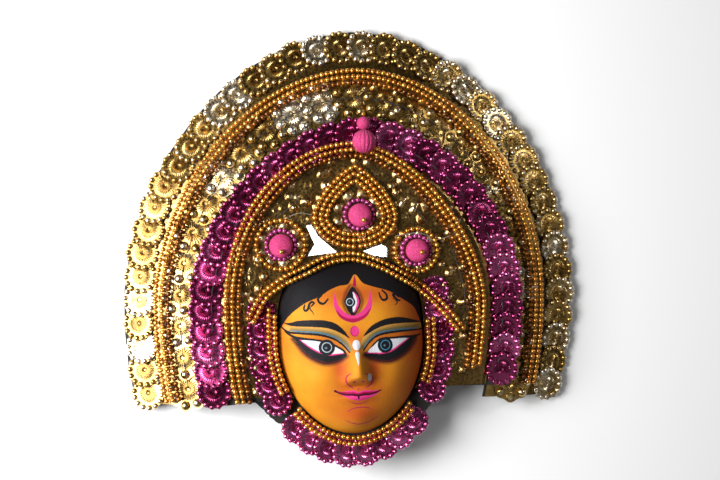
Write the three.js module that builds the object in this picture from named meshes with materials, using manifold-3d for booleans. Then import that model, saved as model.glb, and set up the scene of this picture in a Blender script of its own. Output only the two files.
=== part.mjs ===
// A chhau dance mask: a painted papier-mache face in a wide crown of card, stamped foil rosettes and strung beads.
// It lies on its back. The face looks along +Z, the top of the crown is at +Y and its right side, as seen, at +X.
// Lengths are millimetres. Plans are drawn with x = 0, y = 0 at the middle of the outer crown.
import * as THREE from "three";
import { mergeVertices } from "three/addons/utils/BufferGeometryUtils.js";
import Module from "manifold-3d";

const wasm = await Module();
wasm.setup();

// Outer crown
const crownPower = 1.9;
const crownRise = 30;
const crownFlatShare = 0.58;
const crownSkew = 0.03;
const legLean = 10;
const leanDepth = 96;
const crownLeftEnd = -106;
const crownRightEnd = -101;
const outerBoardWidth = 86;
const outerBoardThickness = 3;

// Stamped foil rosettes
const rosetteRadius = 18.4;
const rosetteThickness = 3.2;
const rosetteStep = 2.2;
const rosetteDish = 1.2;
const rimInset = 15.5;
const rimCount = 40;
const bandInset = 57;
const bandRosetteRadius = 22.5;
const bandCount = 25;

// Inner crown
const innerMiddleX = 5;
const purpleInset = 78;
const purpleTopInset = 110;
const purplePower = 1.8;
const purpleLeftEnd = -98;
const purpleRightEnd = -78;
const purpleCount = 33;
const innerBoardThickness = 4;
const innerBoardMargin = 12;
const boardFoot = 10;
const foilSheetThickness = 2;

// Strung beads
const beadDiameter = 6;
const strandSides = 5;
const stringPitch = 6.4;
const outerBundleInset = 36;
const outerBundleTopInset = 46;
const innerBundleShift = -2.5;
const innerBundleInset = 26.5;
const innerBundleRaise = 116;
const innerBundleTopInset = 13;
const bundleRiseStart = -10;
const bundleRiseEnd = 45;
const innerBundleLeftPower = 2;
const innerBundleRightPower = 1.62;
const innerBundleLeftEnd = -104;
const innerBundleRightEnd = -74;

// Face
const faceX = -2;
const faceY = -44;
const faceTilt = THREE.MathUtils.degToRad(3);
const faceHalfWidth = 74.5;
const faceUpperHeight = 86;
const faceLowerHeight = 92;
const faceUpperPower = 3.2;
const faceLowerPower = 1.9;
const sideRosetteRadius = 15.5;
const sideRosetteGap = 2;
const chinRosetteRadius = 17;
const chinOffset = 19;
const foilWidth = 9.4;
const faceDepth = 44;
const faceWall = 4;
const brimLeftWidth = 114;
const brimRightWidth = 103;
const brimUpperHeight = 90;
const brimLowerHeight = 122;
const noseHeight = 16;

// Ornaments on the inner crown
const pearX = 1;
const pearRaise = 44;
const pearKnobRise = 2.6;
const pearLean = [3.3, -6];
const pearHalfWidth = 41.5;
const pearRise = 52;
const pearDrop = 30.2;
const plateThickness = 2;
const knobRadius = 12;
const knobHeight = 13;
const pinRadius = 2.6;
const purpleBeadDiameter = 4.6;
const finialX = 8;
const finialRaise = 4;
const smallFinialRadius = 7;
const finialBeadRadius = 2.2;

// Fits
const clearance = 0.3;
const holeClearance = 1.2;
const strandRadius = beadDiameter / 2;
const bendAllowance = 0.5;

// Both crowns are built outwards from the face: rosettes beside it, foil, the bundle of strings, two boards
const sideOffset = sideRosetteRadius + sideRosetteGap;
const bundleReach = 1.5 * stringPitch + strandRadius;
const innerBundleHalfWidth = faceHalfWidth + sideOffset + sideRosetteRadius + foilWidth + bundleReach;
const purpleHalfWidth = innerBundleHalfWidth + innerBundleInset;
const crownHalfWidth = purpleHalfWidth + purpleInset;
const faceTop = faceY + faceUpperHeight;
const innerBundleTop = faceTop + innerBundleRaise;
const purpleTop = innerBundleTop + innerBundleTopInset;
const crownTop = purpleTop + purpleTopInset;
const pearMiddleY = faceTop + pearRaise;
const finialY = innerBundleTop + finialRaise;
const leftMedallion = {
  name: "left_medallion",
  x: -faceHalfWidth - 0.5,
  y: faceTop + 15.5,
  ringRadius: 24.9,
  lean: [-0.3, -7],
};
const rightMedallion = {
  name: "right_medallion",
  x: faceHalfWidth - 10.5,
  y: faceTop + 10,
  ringRadius: 22,
  lean: [4, -2],
};

// Layers, as heights above the back of the crown
const onOuterBoard = outerBoardThickness + clearance + bendAllowance;
const rosetteStack = rosetteThickness + rosetteStep / 2;
const innerBoardBack = onOuterBoard + rosetteStack + clearance + bendAllowance;
const onInnerBoard = innerBoardBack + innerBoardThickness + clearance;
const onFoilSheet = onInnerBoard + foilSheetThickness + clearance;
const onPlate = onFoilSheet + plateThickness + clearance;
const brimFront = crownRise + innerBoardBack - clearance;
const brimBack = brimFront - faceWall;

const paint = (color, roughness, metalness = 0) =>
  new THREE.MeshStandardMaterial({ color, roughness, metalness });
const looks = {
  face: paint(0xf0a52a, 0.6),
  card: paint(0x2a2622, 0.9),
  gold: paint(0xb89a4a, 0.3, 0.9),
  purple: paint(0x8c1c6e, 0.3, 0.8),
  bead: paint(0xc0761a, 0.25, 0.5),
  pink: paint(0xeb3f8a, 0.6),
};

const group = new THREE.Group();

function solidOf(geometry) {
  const plain = geometry.clone();
  plain.deleteAttribute("normal");
  plain.deleteAttribute("uv");
  const merged = mergeVertices(plain, 1e-4);
  return new wasm.Manifold(
    new wasm.Mesh({
      numProp: 3,
      vertProperties: new Float32Array(merged.attributes.position.array),
      triVerts: new Uint32Array(merged.index.array),
    }),
  );
}

function geometryOf(solid) {
  const mesh = solid.getMesh();
  const geometry = new THREE.BufferGeometry();
  geometry.setAttribute("position", new THREE.BufferAttribute(mesh.vertProperties, 3));
  geometry.setIndex(new THREE.BufferAttribute(mesh.triVerts, 1));
  return geometry;
}

function addPiece(name, geometry, material) {
  const mesh = new THREE.Mesh(geometry, material);
  mesh.name = name;
  group.add(mesh);
}

const joined = (solids) => solids.reduce((sum, next) => sum.add(next));
const smooth = (value, from, to) => THREE.MathUtils.smoothstep(value, from, to);
const leanAt = (y) => legLean * (y / leanDepth) ** 2;

// Height of the back of the crown: flat in the middle and falling to its edge.
function crownZ(x, y) {
  const across = Math.abs(x - crownSkew * Math.max(0, y));
  const share =
    y > 0
      ? ((across / crownHalfWidth) ** crownPower + (y / crownTop) ** crownPower) ** (1 / crownPower)
      : (across + leanAt(y)) / crownHalfWidth;
  const fall = Math.max(0, (share - crownFlatShare) / (1 - crownFlatShare));
  return crownRise * (1 - fall ** 1.5);
}

// An arch on two legs that lean inwards, from the foot of its left leg over the top to that of its right leg.
function archLine({ middleX, halfWidth, top, leftPower, rightPower, leftEnd, rightEnd, skew = 0 }) {
  const points = [];
  const legSteps = 16;
  const archSteps = 120;
  for (let i = 0; i < legSteps; i++) {
    const y = leftEnd * (1 - i / legSteps);
    points.push(new THREE.Vector2(middleX - halfWidth + leanAt(y), y));
  }
  for (let i = 0; i <= archSteps; i++) {
    const angle = Math.PI * (1 - i / archSteps);
    const power = 2 / (angle > Math.PI / 2 ? leftPower : rightPower);
    const across = Math.sign(Math.cos(angle)) * Math.abs(Math.cos(angle)) ** power;
    const up = top * Math.sin(angle) ** power;
    points.push(new THREE.Vector2(middleX + halfWidth * across + skew * up, up));
  }
  for (let i = 1; i <= legSteps; i++) {
    const y = (rightEnd * i) / legSteps;
    points.push(new THREE.Vector2(middleX + halfWidth - leanAt(y), y));
  }
  return points;
}

// Places spread evenly along a line, each with the direction of the line there.
function spread(line, count, from = 0, to = 1) {
  const lengths = [0];
  for (let i = 1; i < line.length; i++) lengths.push(lengths[i - 1] + line[i].distanceTo(line[i - 1]));
  const total = lengths[lengths.length - 1];
  const places = [];
  let segment = 1;
  for (let i = 0; i < count; i++) {
    const goal = total * (from + ((to - from) * i) / (count - 1));
    while (segment < line.length - 1 && lengths[segment] < goal) segment++;
    const share = (goal - lengths[segment - 1]) / (lengths[segment] - lengths[segment - 1]);
    const point = line[segment - 1].clone().lerp(line[segment], share);
    point.along = line[segment].clone().sub(line[segment - 1]).normalize();
    places.push(point);
  }
  return places;
}

// The same line moved sideways, outwards where the distance is positive.
const moved = (line, distance) =>
  spread(line, line.length).map(
    (p) => new THREE.Vector2(p.x - p.along.y * distance, p.y + p.along.x * distance),
  );

// A bent board between two lines, with its front and back at given heights.
function boardBetween(outerLine, innerLine, lengthSteps, widthSteps, backAt, frontAt) {
  const outer = spread(outerLine, lengthSteps + 1);
  const inner = spread(innerLine, lengthSteps + 1);
  const vertices = [];
  const faces = [];
  const columns = widthSteps + 1;
  const backStart = (lengthSteps + 1) * columns;
  for (const heightAt of [frontAt, backAt])
    for (let i = 0; i <= lengthSteps; i++)
      for (let j = 0; j <= widthSteps; j++) {
        const p = inner[i].clone().lerp(outer[i], j / widthSteps);
        vertices.push(p.x, p.y, heightAt(p.x, p.y));
      }
  const quad = (a, b, c, d) => faces.push(a, b, c, a, c, d);
  const front = (i, j) => i * columns + j;
  const back = (i, j) => backStart + i * columns + j;
  for (let i = 0; i < lengthSteps; i++) {
    for (let j = 0; j < widthSteps; j++) {
      quad(front(i, j), front(i + 1, j), front(i + 1, j + 1), front(i, j + 1));
      quad(back(i, j), back(i, j + 1), back(i + 1, j + 1), back(i + 1, j));
    }
    quad(front(i, 0), back(i, 0), back(i + 1, 0), front(i + 1, 0));
    const edge = widthSteps;
    quad(front(i, edge), front(i + 1, edge), back(i + 1, edge), back(i, edge));
  }
  for (let j = 0; j < widthSteps; j++) {
    const last = lengthSteps;
    quad(front(0, j), front(0, j + 1), back(0, j + 1), back(0, j));
    quad(front(last, j), back(last, j), back(last, j + 1), front(last, j + 1));
  }
  const geometry = new THREE.BufferGeometry();
  geometry.setAttribute("position", new THREE.Float32BufferAttribute(vertices, 3));
  geometry.setIndex(faces);
  return solidOf(geometry);
}

// A row of stamped, dished rosettes as one strip: each has its near edge raised on the far edge of the one before.
function rosetteRow(places, radius, heightAt) {
  const vertices = [];
  const fan = (points) => {
    for (let i = 1; i < points.length - 1; i++) vertices.push(...points[0], ...points[i], ...points[i + 1]);
  };
  const half = places[1].distanceTo(places[0]) / 2;
  const corner = Math.acos(half / radius);
  const last = places.length - 1;
  const at = (place, angle) => {
    const { along } = place;
    const ahead = radius * Math.cos(angle);
    const aside = radius * Math.sin(angle);
    return new THREE.Vector2(
      place.x + along.x * ahead - along.y * aside,
      place.y + along.y * ahead + along.x * aside,
    );
  };
  const joint = (i, sign) => at(places[i], sign * corner).lerp(at(places[i + 1], Math.PI - sign * corner), 0.5);
  const place3 = (p, rise) => [p.x, p.y, heightAt(p.x, p.y) + rise];
  const edgePoint = (i, angle) => ({
    plan: at(places[i], angle),
    rise: rosetteThickness - (rosetteStep * Math.cos(angle) * radius) / (2 * half),
  });
  const low = rosetteThickness - rosetteStep / 2;
  const high = rosetteThickness + rosetteStep / 2;
  const arc = (i, from, to, count) =>
    Array.from({ length: count }, (_, k) => edgePoint(i, from + ((to - from) * (k + 1)) / (count + 1)));
  places.forEach((place, i) => {
    const farIn = i < last ? { plan: joint(i, -1), rise: low } : edgePoint(i, -corner);
    const farOut = i < last ? { plan: joint(i, 1), rise: low } : edgePoint(i, corner);
    const nearOut = i > 0 ? { plan: joint(i - 1, 1), rise: high, step: true } : edgePoint(i, Math.PI - corner);
    const nearIn = i > 0 ? { plan: joint(i - 1, -1), rise: high, step: true } : edgePoint(i, Math.PI + corner);
    const rim = [
      farIn,
      ...(i === last ? arc(i, -corner, corner, 2) : []),
      farOut,
      ...arc(i, corner, Math.PI - corner, 3),
      nearOut,
      ...(i === 0 ? arc(i, Math.PI - corner, Math.PI + corner, 2) : []),
      nearIn,
      ...arc(i, Math.PI + corner, 2 * Math.PI - corner, 1),
    ];
    const top = place3(place, rosetteThickness - rosetteDish);
    const bottom = place3(place, 0);
    rim.forEach((a, k) => {
      const b = rim[(k + 1) % rim.length];
      fan([top, place3(a.plan, a.rise), place3(b.plan, b.rise)]);
      fan([bottom, place3(b.plan, 0), place3(a.plan, 0)]);
      if (a === farIn && b === farOut && i < last) return;
      if (a === nearOut && b === nearIn && i > 0) {
        fan([place3(a.plan, low), place3(b.plan, low), place3(b.plan, high), place3(a.plan, high)]);
        return;
      }
      const wall = [place3(b.plan, 0)];
      if (b.step) wall.push(place3(b.plan, low));
      wall.push(place3(b.plan, b.rise), place3(a.plan, a.rise));
      if (a.step) wall.push(place3(a.plan, low));
      wall.push(place3(a.plan, 0));
      fan(wall);
    });
  });
  const geometry = new THREE.BufferGeometry();
  geometry.setAttribute("position", new THREE.Float32BufferAttribute(vertices, 3));
  return geometry;
}

// One string of beads as a plain tube of the beads' diameter.
function strand(name, points, steps, radius = strandRadius) {
  const section = new THREE.Shape();
  section.moveTo(radius, 0);
  for (let i = 1; i < strandSides; i++) {
    const angle = (2 * Math.PI * i) / strandSides;
    section.lineTo(radius * Math.cos(angle), radius * Math.sin(angle));
  }
  const path = new THREE.CatmullRomCurve3(points);
  const tube = new THREE.ExtrudeGeometry(section, { steps, extrudePath: path, bevelEnabled: false });
  addPiece(name, tube, looks.bead);
}

const lifted = (places, heightAt) => places.map((p) => new THREE.Vector3(p.x, p.y, heightAt(p.x, p.y)));

// Outer crown: a card board with a rim of rosettes, a band of larger ones and a bundle of three strings
const outerArch = (inset, topInset = inset) =>
  archLine({
    middleX: 0,
    halfWidth: crownHalfWidth - inset,
    top: crownTop - topInset,
    leftPower: crownPower,
    rightPower: crownPower,
    leftEnd: crownLeftEnd,
    rightEnd: crownRightEnd,
    skew: crownSkew,
  });
addPiece(
  "outer_crown_board",
  geometryOf(
    boardBetween(
      outerArch(0),
      outerArch(outerBoardWidth, outerBoardWidth + 12),
      26,
      3,
      crownZ,
      (x, y) => crownZ(x, y) + outerBoardThickness,
    ),
  ),
  looks.card,
);
const onOuter = (x, y) => crownZ(x, y) + onOuterBoard;
const rimLine = outerArch(rimInset);
addPiece(
  "gold_rosette_rim",
  rosetteRow(spread(rimLine, rimCount, 0.012, 0.988), rosetteRadius, onOuter),
  looks.gold,
);
const bandLine = outerArch(bandInset, bandInset + 14);
addPiece(
  "gold_rosette_band",
  rosetteRow(spread(bandLine, bandCount, 0.02, 0.98), bandRosetteRadius, onOuter),
  looks.gold,
);
const outerStrandHeight = onOuterBoard + rosetteStack + clearance + strandRadius;
const outerBundle = outerArch(outerBundleInset, outerBundleTopInset);
[0.5, -0.5, -1.5].forEach((share, i) =>
  strand(
    `outer_bead_string_${i + 1}`,
    lifted(spread(moved(outerBundle, share * stringPitch), 34, 0.005, 0.985), (x, y) => crownZ(x, y) + outerStrandHeight),
    22,
  ),
);

// Face: a hollow shell of papier-mache with a flat brim, open at the back
const outlineRadius = (angle, halfWidth, upper, lower, upperPower, lowerPower) => {
  const height = Math.sin(angle) > 0 ? upper : lower;
  const power = Math.sin(angle) > 0 ? upperPower : lowerPower;
  const across = (Math.abs(Math.cos(angle)) / halfWidth) ** power;
  return (across + (Math.abs(Math.sin(angle)) / height) ** power) ** (-1 / power);
};
const faceEdge = (angle, offset = 0) =>
  outlineRadius(
    angle,
    faceHalfWidth + offset,
    faceUpperHeight + offset,
    faceLowerHeight + offset,
    faceUpperPower,
    faceLowerPower,
  );
const brimEdge = (angle) => {
  const width = Math.cos(angle) < 0 ? brimLeftWidth : brimRightWidth;
  return outlineRadius(angle, width, brimUpperHeight, brimLowerHeight, faceUpperPower, 2);
};
const bell = (value, middle, width) => Math.exp(-(((value - middle) / width) ** 2));

// Height of the modelled face above its brim, for u to its right and v to its top.
function faceHeight(u, v) {
  const share = Math.min(1, Math.hypot(u, v) / faceEdge(Math.atan2(v, u)));
  const bowl = faceDepth * Math.max(0, 1 - share ** 2.6) ** 0.55;
  const side = Math.abs(u);
  const noseWidth = 6 + 5 * smooth(-v, -4, 28);
  const noseLine = smooth(-v, -14, 26) ** 1.2 * (1 - smooth(-v, 29, 41));
  const nose = noseHeight * noseLine * bell(u, 0, noseWidth) + 4 * bell(side, 9.5, 5) * bell(v, -33, 5);
  const lips = 3.5 * bell(u, 0, 15) * bell(v, -50, 6);
  const chin = 4 * bell(u, 0, 17) * bell(v, -75, 10);
  const brow = 2 * bell(side, 26, 20) * bell(v, 18, 6);
  const socket = -3 * bell(side, 29, 15) * bell(v, 1, 9) + 2 * bell(side, 29, 9) * bell(v, 0, 6);
  const cheek = 2.5 * bell(side, 38, 15) * bell(v, -30, 17);
  const fade = 1 - smooth(share, 0.86, 1);
  return bowl + fade * (nose + lips + chin + brow + socket + cheek);
}

const toPlan = (u, v) => [
  faceX + u * Math.cos(faceTilt) - v * Math.sin(faceTilt),
  faceY + u * Math.sin(faceTilt) + v * Math.cos(faceTilt),
];

function shellGeometry() {
  const columns = 36;
  const middle = new THREE.Vector2(0, -28);
  const outerShares = [0.07, 0.14, 0.22, 0.31, 0.41, 0.52, 0.63, 0.74, 0.84, 0.92, 0.97, 1];
  const innerShares = [1, 0.96, 0.86, 0.7, 0.48, 0.24];
  const hollowHeight = (u, v) => {
    const share = Math.min(1, Math.hypot(u, v) / faceEdge(Math.atan2(v, u), -faceWall));
    const nose = 0.72 * noseHeight * smooth(-v, -10, 24) * (1 - smooth(-v, 27, 38)) * bell(u, 0, 6);
    return faceDepth * Math.max(0, 1 - share ** 2.6) ** 0.55 + nose;
  };
  const towards = (radius, angle, share) =>
    middle.clone().lerp(new THREE.Vector2(radius * Math.cos(angle), radius * Math.sin(angle)), share);
  const rings = [];
  for (const share of outerShares)
    rings.push((angle) => {
      const p = towards(faceEdge(angle), angle, share);
      return [p.x, p.y, brimFront + (share === 1 ? 0 : faceHeight(p.x, p.y))];
    });
  for (const z of [brimFront, brimBack])
    rings.push((angle) => {
      const p = towards(brimEdge(angle), angle, 1);
      return [p.x, p.y, z];
    });
  for (const share of innerShares)
    rings.push((angle) => {
      const p = towards(faceEdge(angle, -faceWall), angle, share);
      return [p.x, p.y, brimBack + (share === 1 ? 0 : hollowHeight(p.x, p.y))];
    });
  const vertices = [];
  const put = (u, v, z) => vertices.push(...toPlan(u, v), z);
  put(middle.x, middle.y, brimFront + faceHeight(middle.x, middle.y));
  for (const ring of rings)
    for (let i = 0; i < columns; i++) put(...ring((2 * Math.PI * (i + 0.5)) / columns));
  put(middle.x, middle.y, brimBack + hollowHeight(middle.x, middle.y));
  const at = (ring, i) => 1 + ring * columns + (i % columns);
  const last = vertices.length / 3 - 1;
  const faces = [];
  for (let i = 0; i < columns; i++) {
    faces.push(0, at(0, i), at(0, i + 1));
    for (let ring = 0; ring < rings.length - 1; ring++) {
      faces.push(at(ring, i), at(ring + 1, i), at(ring + 1, i + 1));
      faces.push(at(ring, i), at(ring + 1, i + 1), at(ring, i + 1));
    }
    faces.push(at(rings.length - 1, i), last, at(rings.length - 1, i + 1));
  }
  const geometry = new THREE.BufferGeometry();
  geometry.setAttribute("position", new THREE.Float32BufferAttribute(vertices, 3));
  geometry.setIndex(faces);
  return geometry;
}
addPiece("face_shell", shellGeometry(), looks.face);

// A line that runs round the face at a distance from its edge, between two angles
function faceLine(offset, fromDegrees, toDegrees) {
  const points = [];
  const steps = 60;
  for (let i = 0; i <= steps; i++) {
    const angle = THREE.MathUtils.degToRad(fromDegrees + ((toDegrees - fromDegrees) * i) / steps);
    const radius = faceEdge(angle, offset);
    points.push(new THREE.Vector2(...toPlan(radius * Math.cos(angle), radius * Math.sin(angle))));
  }
  return points;
}

// Inner crown: a board round the face, with two gaps that the room shows through
const purpleArch = (offset, foot = 0) =>
  archLine({
    middleX: innerMiddleX,
    halfWidth: purpleHalfWidth + offset,
    top: purpleTop + offset,
    leftPower: purplePower,
    rightPower: purplePower,
    leftEnd: purpleLeftEnd - foot,
    rightEnd: purpleRightEnd - foot,
    skew: crownSkew,
  });
const gapBlocks = [
  [
    [-49, 35],
    [-43, 36],
    [-36, 24],
    [-17, 8],
    [-47, 4],
    [-40, 16],
  ],
  [
    [10, 9],
    [29, 16],
    [35, 13],
    [35, 2],
    [22, 4],
  ],
].map((corners) => {
  const outline = new THREE.Shape(corners.map(([x, raise]) => new THREE.Vector2(x, faceTop + raise)));
  const block = new THREE.ExtrudeGeometry(outline, { depth: 60, bevelEnabled: false });
  block.translate(0, 0, crownRise);
  return solidOf(block);
});
const withGaps = (solid) => gapBlocks.reduce((rest, block) => rest.subtract(block), solid);
const holeLine = faceLine(holeClearance, 220, -36);
addPiece(
  "inner_crown_board",
  geometryOf(
    withGaps(
      boardBetween(
        purpleArch(innerBoardMargin, boardFoot),
        holeLine,
        24,
        3,
        (x, y) => crownZ(x, y) + innerBoardBack,
        (x, y) => crownZ(x, y) + innerBoardBack + innerBoardThickness,
      ),
    ),
  ),
  looks.card,
);
const onInner = (x, y) => crownZ(x, y) + onInnerBoard + bendAllowance;
addPiece(
  "purple_rosette_arch",
  rosetteRow(spread(purpleArch(0), purpleCount, 0.01, 0.99), rosetteRadius, onInner),
  looks.purple,
);
const innerArch = (offset) =>
  archLine({
    middleX: innerMiddleX + innerBundleShift,
    halfWidth: innerBundleHalfWidth + offset,
    top: innerBundleTop + offset,
    leftPower: innerBundleLeftPower,
    rightPower: innerBundleRightPower,
    leftEnd: innerBundleLeftEnd,
    rightEnd: innerBundleRightEnd,
  });
addPiece(
  "inner_foil_sheet",
  geometryOf(
    withGaps(
      boardBetween(
        purpleArch(-rosetteRadius - holeClearance),
        holeLine,
        24,
        3,
        (x, y) => crownZ(x, y) + onInnerBoard,
        (x, y) => crownZ(x, y) + onInnerBoard + foilSheetThickness,
      ),
    ),
  ),
  looks.gold,
);
const innerStrandLow = onFoilSheet + strandRadius;
const innerStrandHigh = onInnerBoard + bendAllowance + rosetteStack + clearance + strandRadius;
const bundleHeight = (x, y) =>
  crownZ(x, y) +
  innerStrandLow +
  (innerStrandHigh - innerStrandLow) * smooth(y, bundleRiseStart, bundleRiseEnd);
[0.5, -0.5, -1.5].forEach((share, i) =>
  strand(
    `inner_bead_string_${i + 1}`,
    lifted(spread(innerArch(share * stringPitch), 30, 0.004, 0.992), bundleHeight),
    20,
  ),
);

// Ornaments: a pear-shaped loop and two round medallions, each with a knob in a ring of purple beads
function pearLine(inset) {
  const points = [];
  const steps = 48;
  for (let i = 0; i <= steps; i++) {
    const turn = -Math.PI + 2 * Math.PI * (0.004 + (0.992 * i) / steps);
    const across = Math.sin(turn);
    const upper = Math.cos(turn) < 0;
    const rise = (pearRise - 1.2 * inset) * (1 - Math.abs(across) ** 1.15) ** 0.62;
    const drop = (pearDrop - inset) * Math.cos(turn);
    points.push(
      new THREE.Vector2(pearX + (pearHalfWidth - inset) * across, pearMiddleY + (upper ? rise : -drop)),
    );
  }
  return points;
}
function plateOf(line, back) {
  const outline = new THREE.Shape(line);
  const plate = new THREE.ExtrudeGeometry(outline, { depth: plateThickness, bevelEnabled: false });
  plate.translate(0, 0, back);
  return plate;
}
const plateBack = crownRise + onFoilSheet;
const plateFront = crownRise + onPlate;
const fromBottom = (line) => {
  const half = line.length / 2;
  return [...line.slice(half), ...line.slice(0, half)];
};
addPiece("pear_plate", plateOf(spread(pearLine(0), 26), plateBack), looks.gold);
[0, 1, 2].forEach((i) =>
  strand(
    `pear_bead_string_${i + 1}`,
    lifted(spread(fromBottom(pearLine(i * (beadDiameter + 0.2))), 24, 0.006, 0.994), () => plateFront + strandRadius),
    18,
  ),
);

// A bud whose tip leans over by the given way, with the head of its pin on the tip
function knob(name, x, y, z, lean) {
  const profile = [
    [0, 0],
    [knobRadius * 0.86, 0],
    [knobRadius, knobHeight * 0.3],
    [knobRadius * 0.86, knobHeight * 0.66],
    [knobRadius * 0.5, knobHeight * 0.92],
    [0, knobHeight],
  ].map(([r, h]) => new THREE.Vector2(r, h));
  const body = new THREE.LatheGeometry(profile, 10);
  body.rotateX(Math.PI / 2);
  const spots = body.getAttribute("position");
  for (let i = 0; i < spots.count; i++) {
    const share = Math.max(0, spots.getZ(i) / knobHeight) ** 2.5;
    spots.setXY(i, spots.getX(i) + lean[0] * share, spots.getY(i) + lean[1] * share);
  }
  body.translate(x, y, z);
  addPiece(name + "_knob", body, looks.pink);
  pin(name + "_pin", x + lean[0], y + lean[1], z + knobHeight + clearance);
}

function beadRing(name, x, y, z, radius, beadRadius, sides, segments, material) {
  const ring = new THREE.TorusGeometry(radius, beadRadius, sides, segments);
  ring.translate(x, y, z + beadRadius);
  addPiece(name, ring, material);
}

function pin(name, x, y, z) {
  const head = new THREE.SphereGeometry(pinRadius, 6, 4);
  head.rotateX(Math.PI / 2);
  head.translate(x, y, z + pinRadius);
  addPiece(name, head, looks.bead);
}

const purpleRing = knobRadius + clearance + purpleBeadDiameter / 2;
const pearKnobY = pearMiddleY + pearKnobRise;
const purpleBeads = (name, x, y) =>
  beadRing(name, x, y, plateFront, purpleRing, purpleBeadDiameter / 2, 4, 12, looks.purple);
knob("pear", pearX + 4, pearKnobY, plateFront, pearLean);
purpleBeads("pear_purple_ring", pearX + 4, pearKnobY);
for (const medallion of [leftMedallion, rightMedallion]) {
  const { name, x, y, ringRadius, lean } = medallion;
  const disc = new THREE.CylinderGeometry(ringRadius, ringRadius, plateThickness, 16);
  disc.rotateX(Math.PI / 2);
  disc.translate(x, y, plateBack + plateThickness / 2);
  addPiece(`${name}_plate`, disc, looks.gold);
  beadRing(`${name}_bead_string`, x, y, plateFront, ringRadius, strandRadius, strandSides, 16, looks.bead);
  knob(name, x, y, plateFront, lean);
  purpleBeads(`${name}_purple_ring`, x, y);
}

// Finial: a large and a small fluted ball with a gold bead, laid on the top of the inner crown
const finialBed = crownZ(finialX, finialY) + innerStrandHigh + strandRadius + clearance;
function ball(name, x, y, z, radius, material, sides = 10) {
  const body = new THREE.SphereGeometry(radius, sides, Math.ceil(sides * 0.6));
  body.translate(x, y, z);
  addPiece(name, body, material);
}
const smallFinialY = finialY + knobRadius + smallFinialRadius + clearance;
ball("finial_large_ball", finialX, finialY, finialBed + knobRadius, knobRadius, looks.pink);
const smallFinialZ = onInner(finialX, smallFinialY) + rosetteStack + clearance + smallFinialRadius;
const finialBeadY = smallFinialY + smallFinialRadius + finialBeadRadius + clearance;
ball("finial_small_ball", finialX + 1, smallFinialY, smallFinialZ, smallFinialRadius, looks.pink, 8);
ball("finial_gold_bead", finialX + 1, finialBeadY, smallFinialZ, finialBeadRadius, looks.bead, 6);

// Strings over the forehead and down both temples to the inner bundle
const shellFront = (x, y) => {
  const u = (x - faceX) * Math.cos(faceTilt) + (y - faceY) * Math.sin(faceTilt);
  const v = (y - faceY) * Math.cos(faceTilt) - (x - faceX) * Math.sin(faceTilt);
  return brimFront + faceHeight(u, v);
};
const foreheadRoute = [
  [-1.45, -59],
  [-1.275, -35],
  [-0.993, -19],
  [-0.698, -8],
  [-0.376, 3],
  [-0.013, 7],
  [0.349, -1],
  [0.658, -13],
  [0.926, -24],
  [1.289, -49],
  [1.517, -70],
].map(([share, raise]) => new THREE.Vector2(share * faceHalfWidth, faceTop + raise));
const foreheadLine = new THREE.SplineCurve(foreheadRoute).getSpacedPoints(80);
const templeStart = faceHalfWidth + 2;
const foreheadHeight = (x, y) => {
  const overRosettes = smooth(Math.abs(x), templeStart - 8, templeStart);
  let highest = crownZ(x, y) + onFoilSheet + overRosettes * (rosetteStack + clearance);
  for (let i = 0; i < 8; i++) {
    const angle = (Math.PI * i) / 4;
    const reach = strandRadius + clearance;
    highest = Math.max(highest, shellFront(x + reach * Math.cos(angle), y + reach * Math.sin(angle)));
  }
  return highest + strandRadius + 0.6;
};
[0, -stringPitch].forEach((offset, i) =>
  strand(`forehead_bead_string_${i + 1}`, lifted(spread(moved(foreheadLine, offset), 20), foreheadHeight), 18),
);

// Rosettes beside the face and under the chin, and the strings that lie on their inner edge
const onBrim = () => brimFront + clearance;
const onFoil = (x, y) => crownZ(x, y) + onFoilSheet;
addPiece(
  "left_side_rosettes",
  rosetteRow(spread(faceLine(sideOffset, 214, 157), 6), sideRosetteRadius, onFoil),
  looks.purple,
);
addPiece(
  "right_side_rosettes",
  rosetteRow(spread(faceLine(sideOffset, -32, 30), 6), sideRosetteRadius, onFoil),
  looks.purple,
);
addPiece(
  "chin_rosettes",
  rosetteRow(spread(faceLine(chinOffset, 234, 306), 8), chinRosetteRadius, onBrim),
  looks.purple,
);
const sideStrandHeight = crownRise + onFoilSheet + rosetteStack + clearance + strandRadius;
const chinStrandHeight = brimFront + clearance + rosetteStack + clearance + strandRadius;
[4, 4 + beadDiameter + 0.2].forEach((offset, i) => {
  const left = spread(faceLine(offset, 211, 154), 10);
  const right = spread(faceLine(offset, -29, 16), 10);
  const chin = spread(faceLine(offset, 228, 312), 14);
  strand(`left_cheek_bead_string_${i + 1}`, lifted(left, () => sideStrandHeight), 8);
  strand(`right_cheek_bead_string_${i + 1}`, lifted(right, () => sideStrandHeight), 8);
  strand(`chin_bead_string_${i + 1}`, lifted(chin, () => chinStrandHeight), 12);
});

// The back of the crown's edge comes to rest on z = 0, under the middle of the object's box.
const whole = new THREE.Box3().setFromObject(group, true);
const centre = whole.getCenter(new THREE.Vector3());
group.position.set(-centre.x, -centre.y, -whole.min.z);

export default group;
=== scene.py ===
import math
import random

import bpy
import numpy as np
from mathutils import Matrix, Vector, noise


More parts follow.
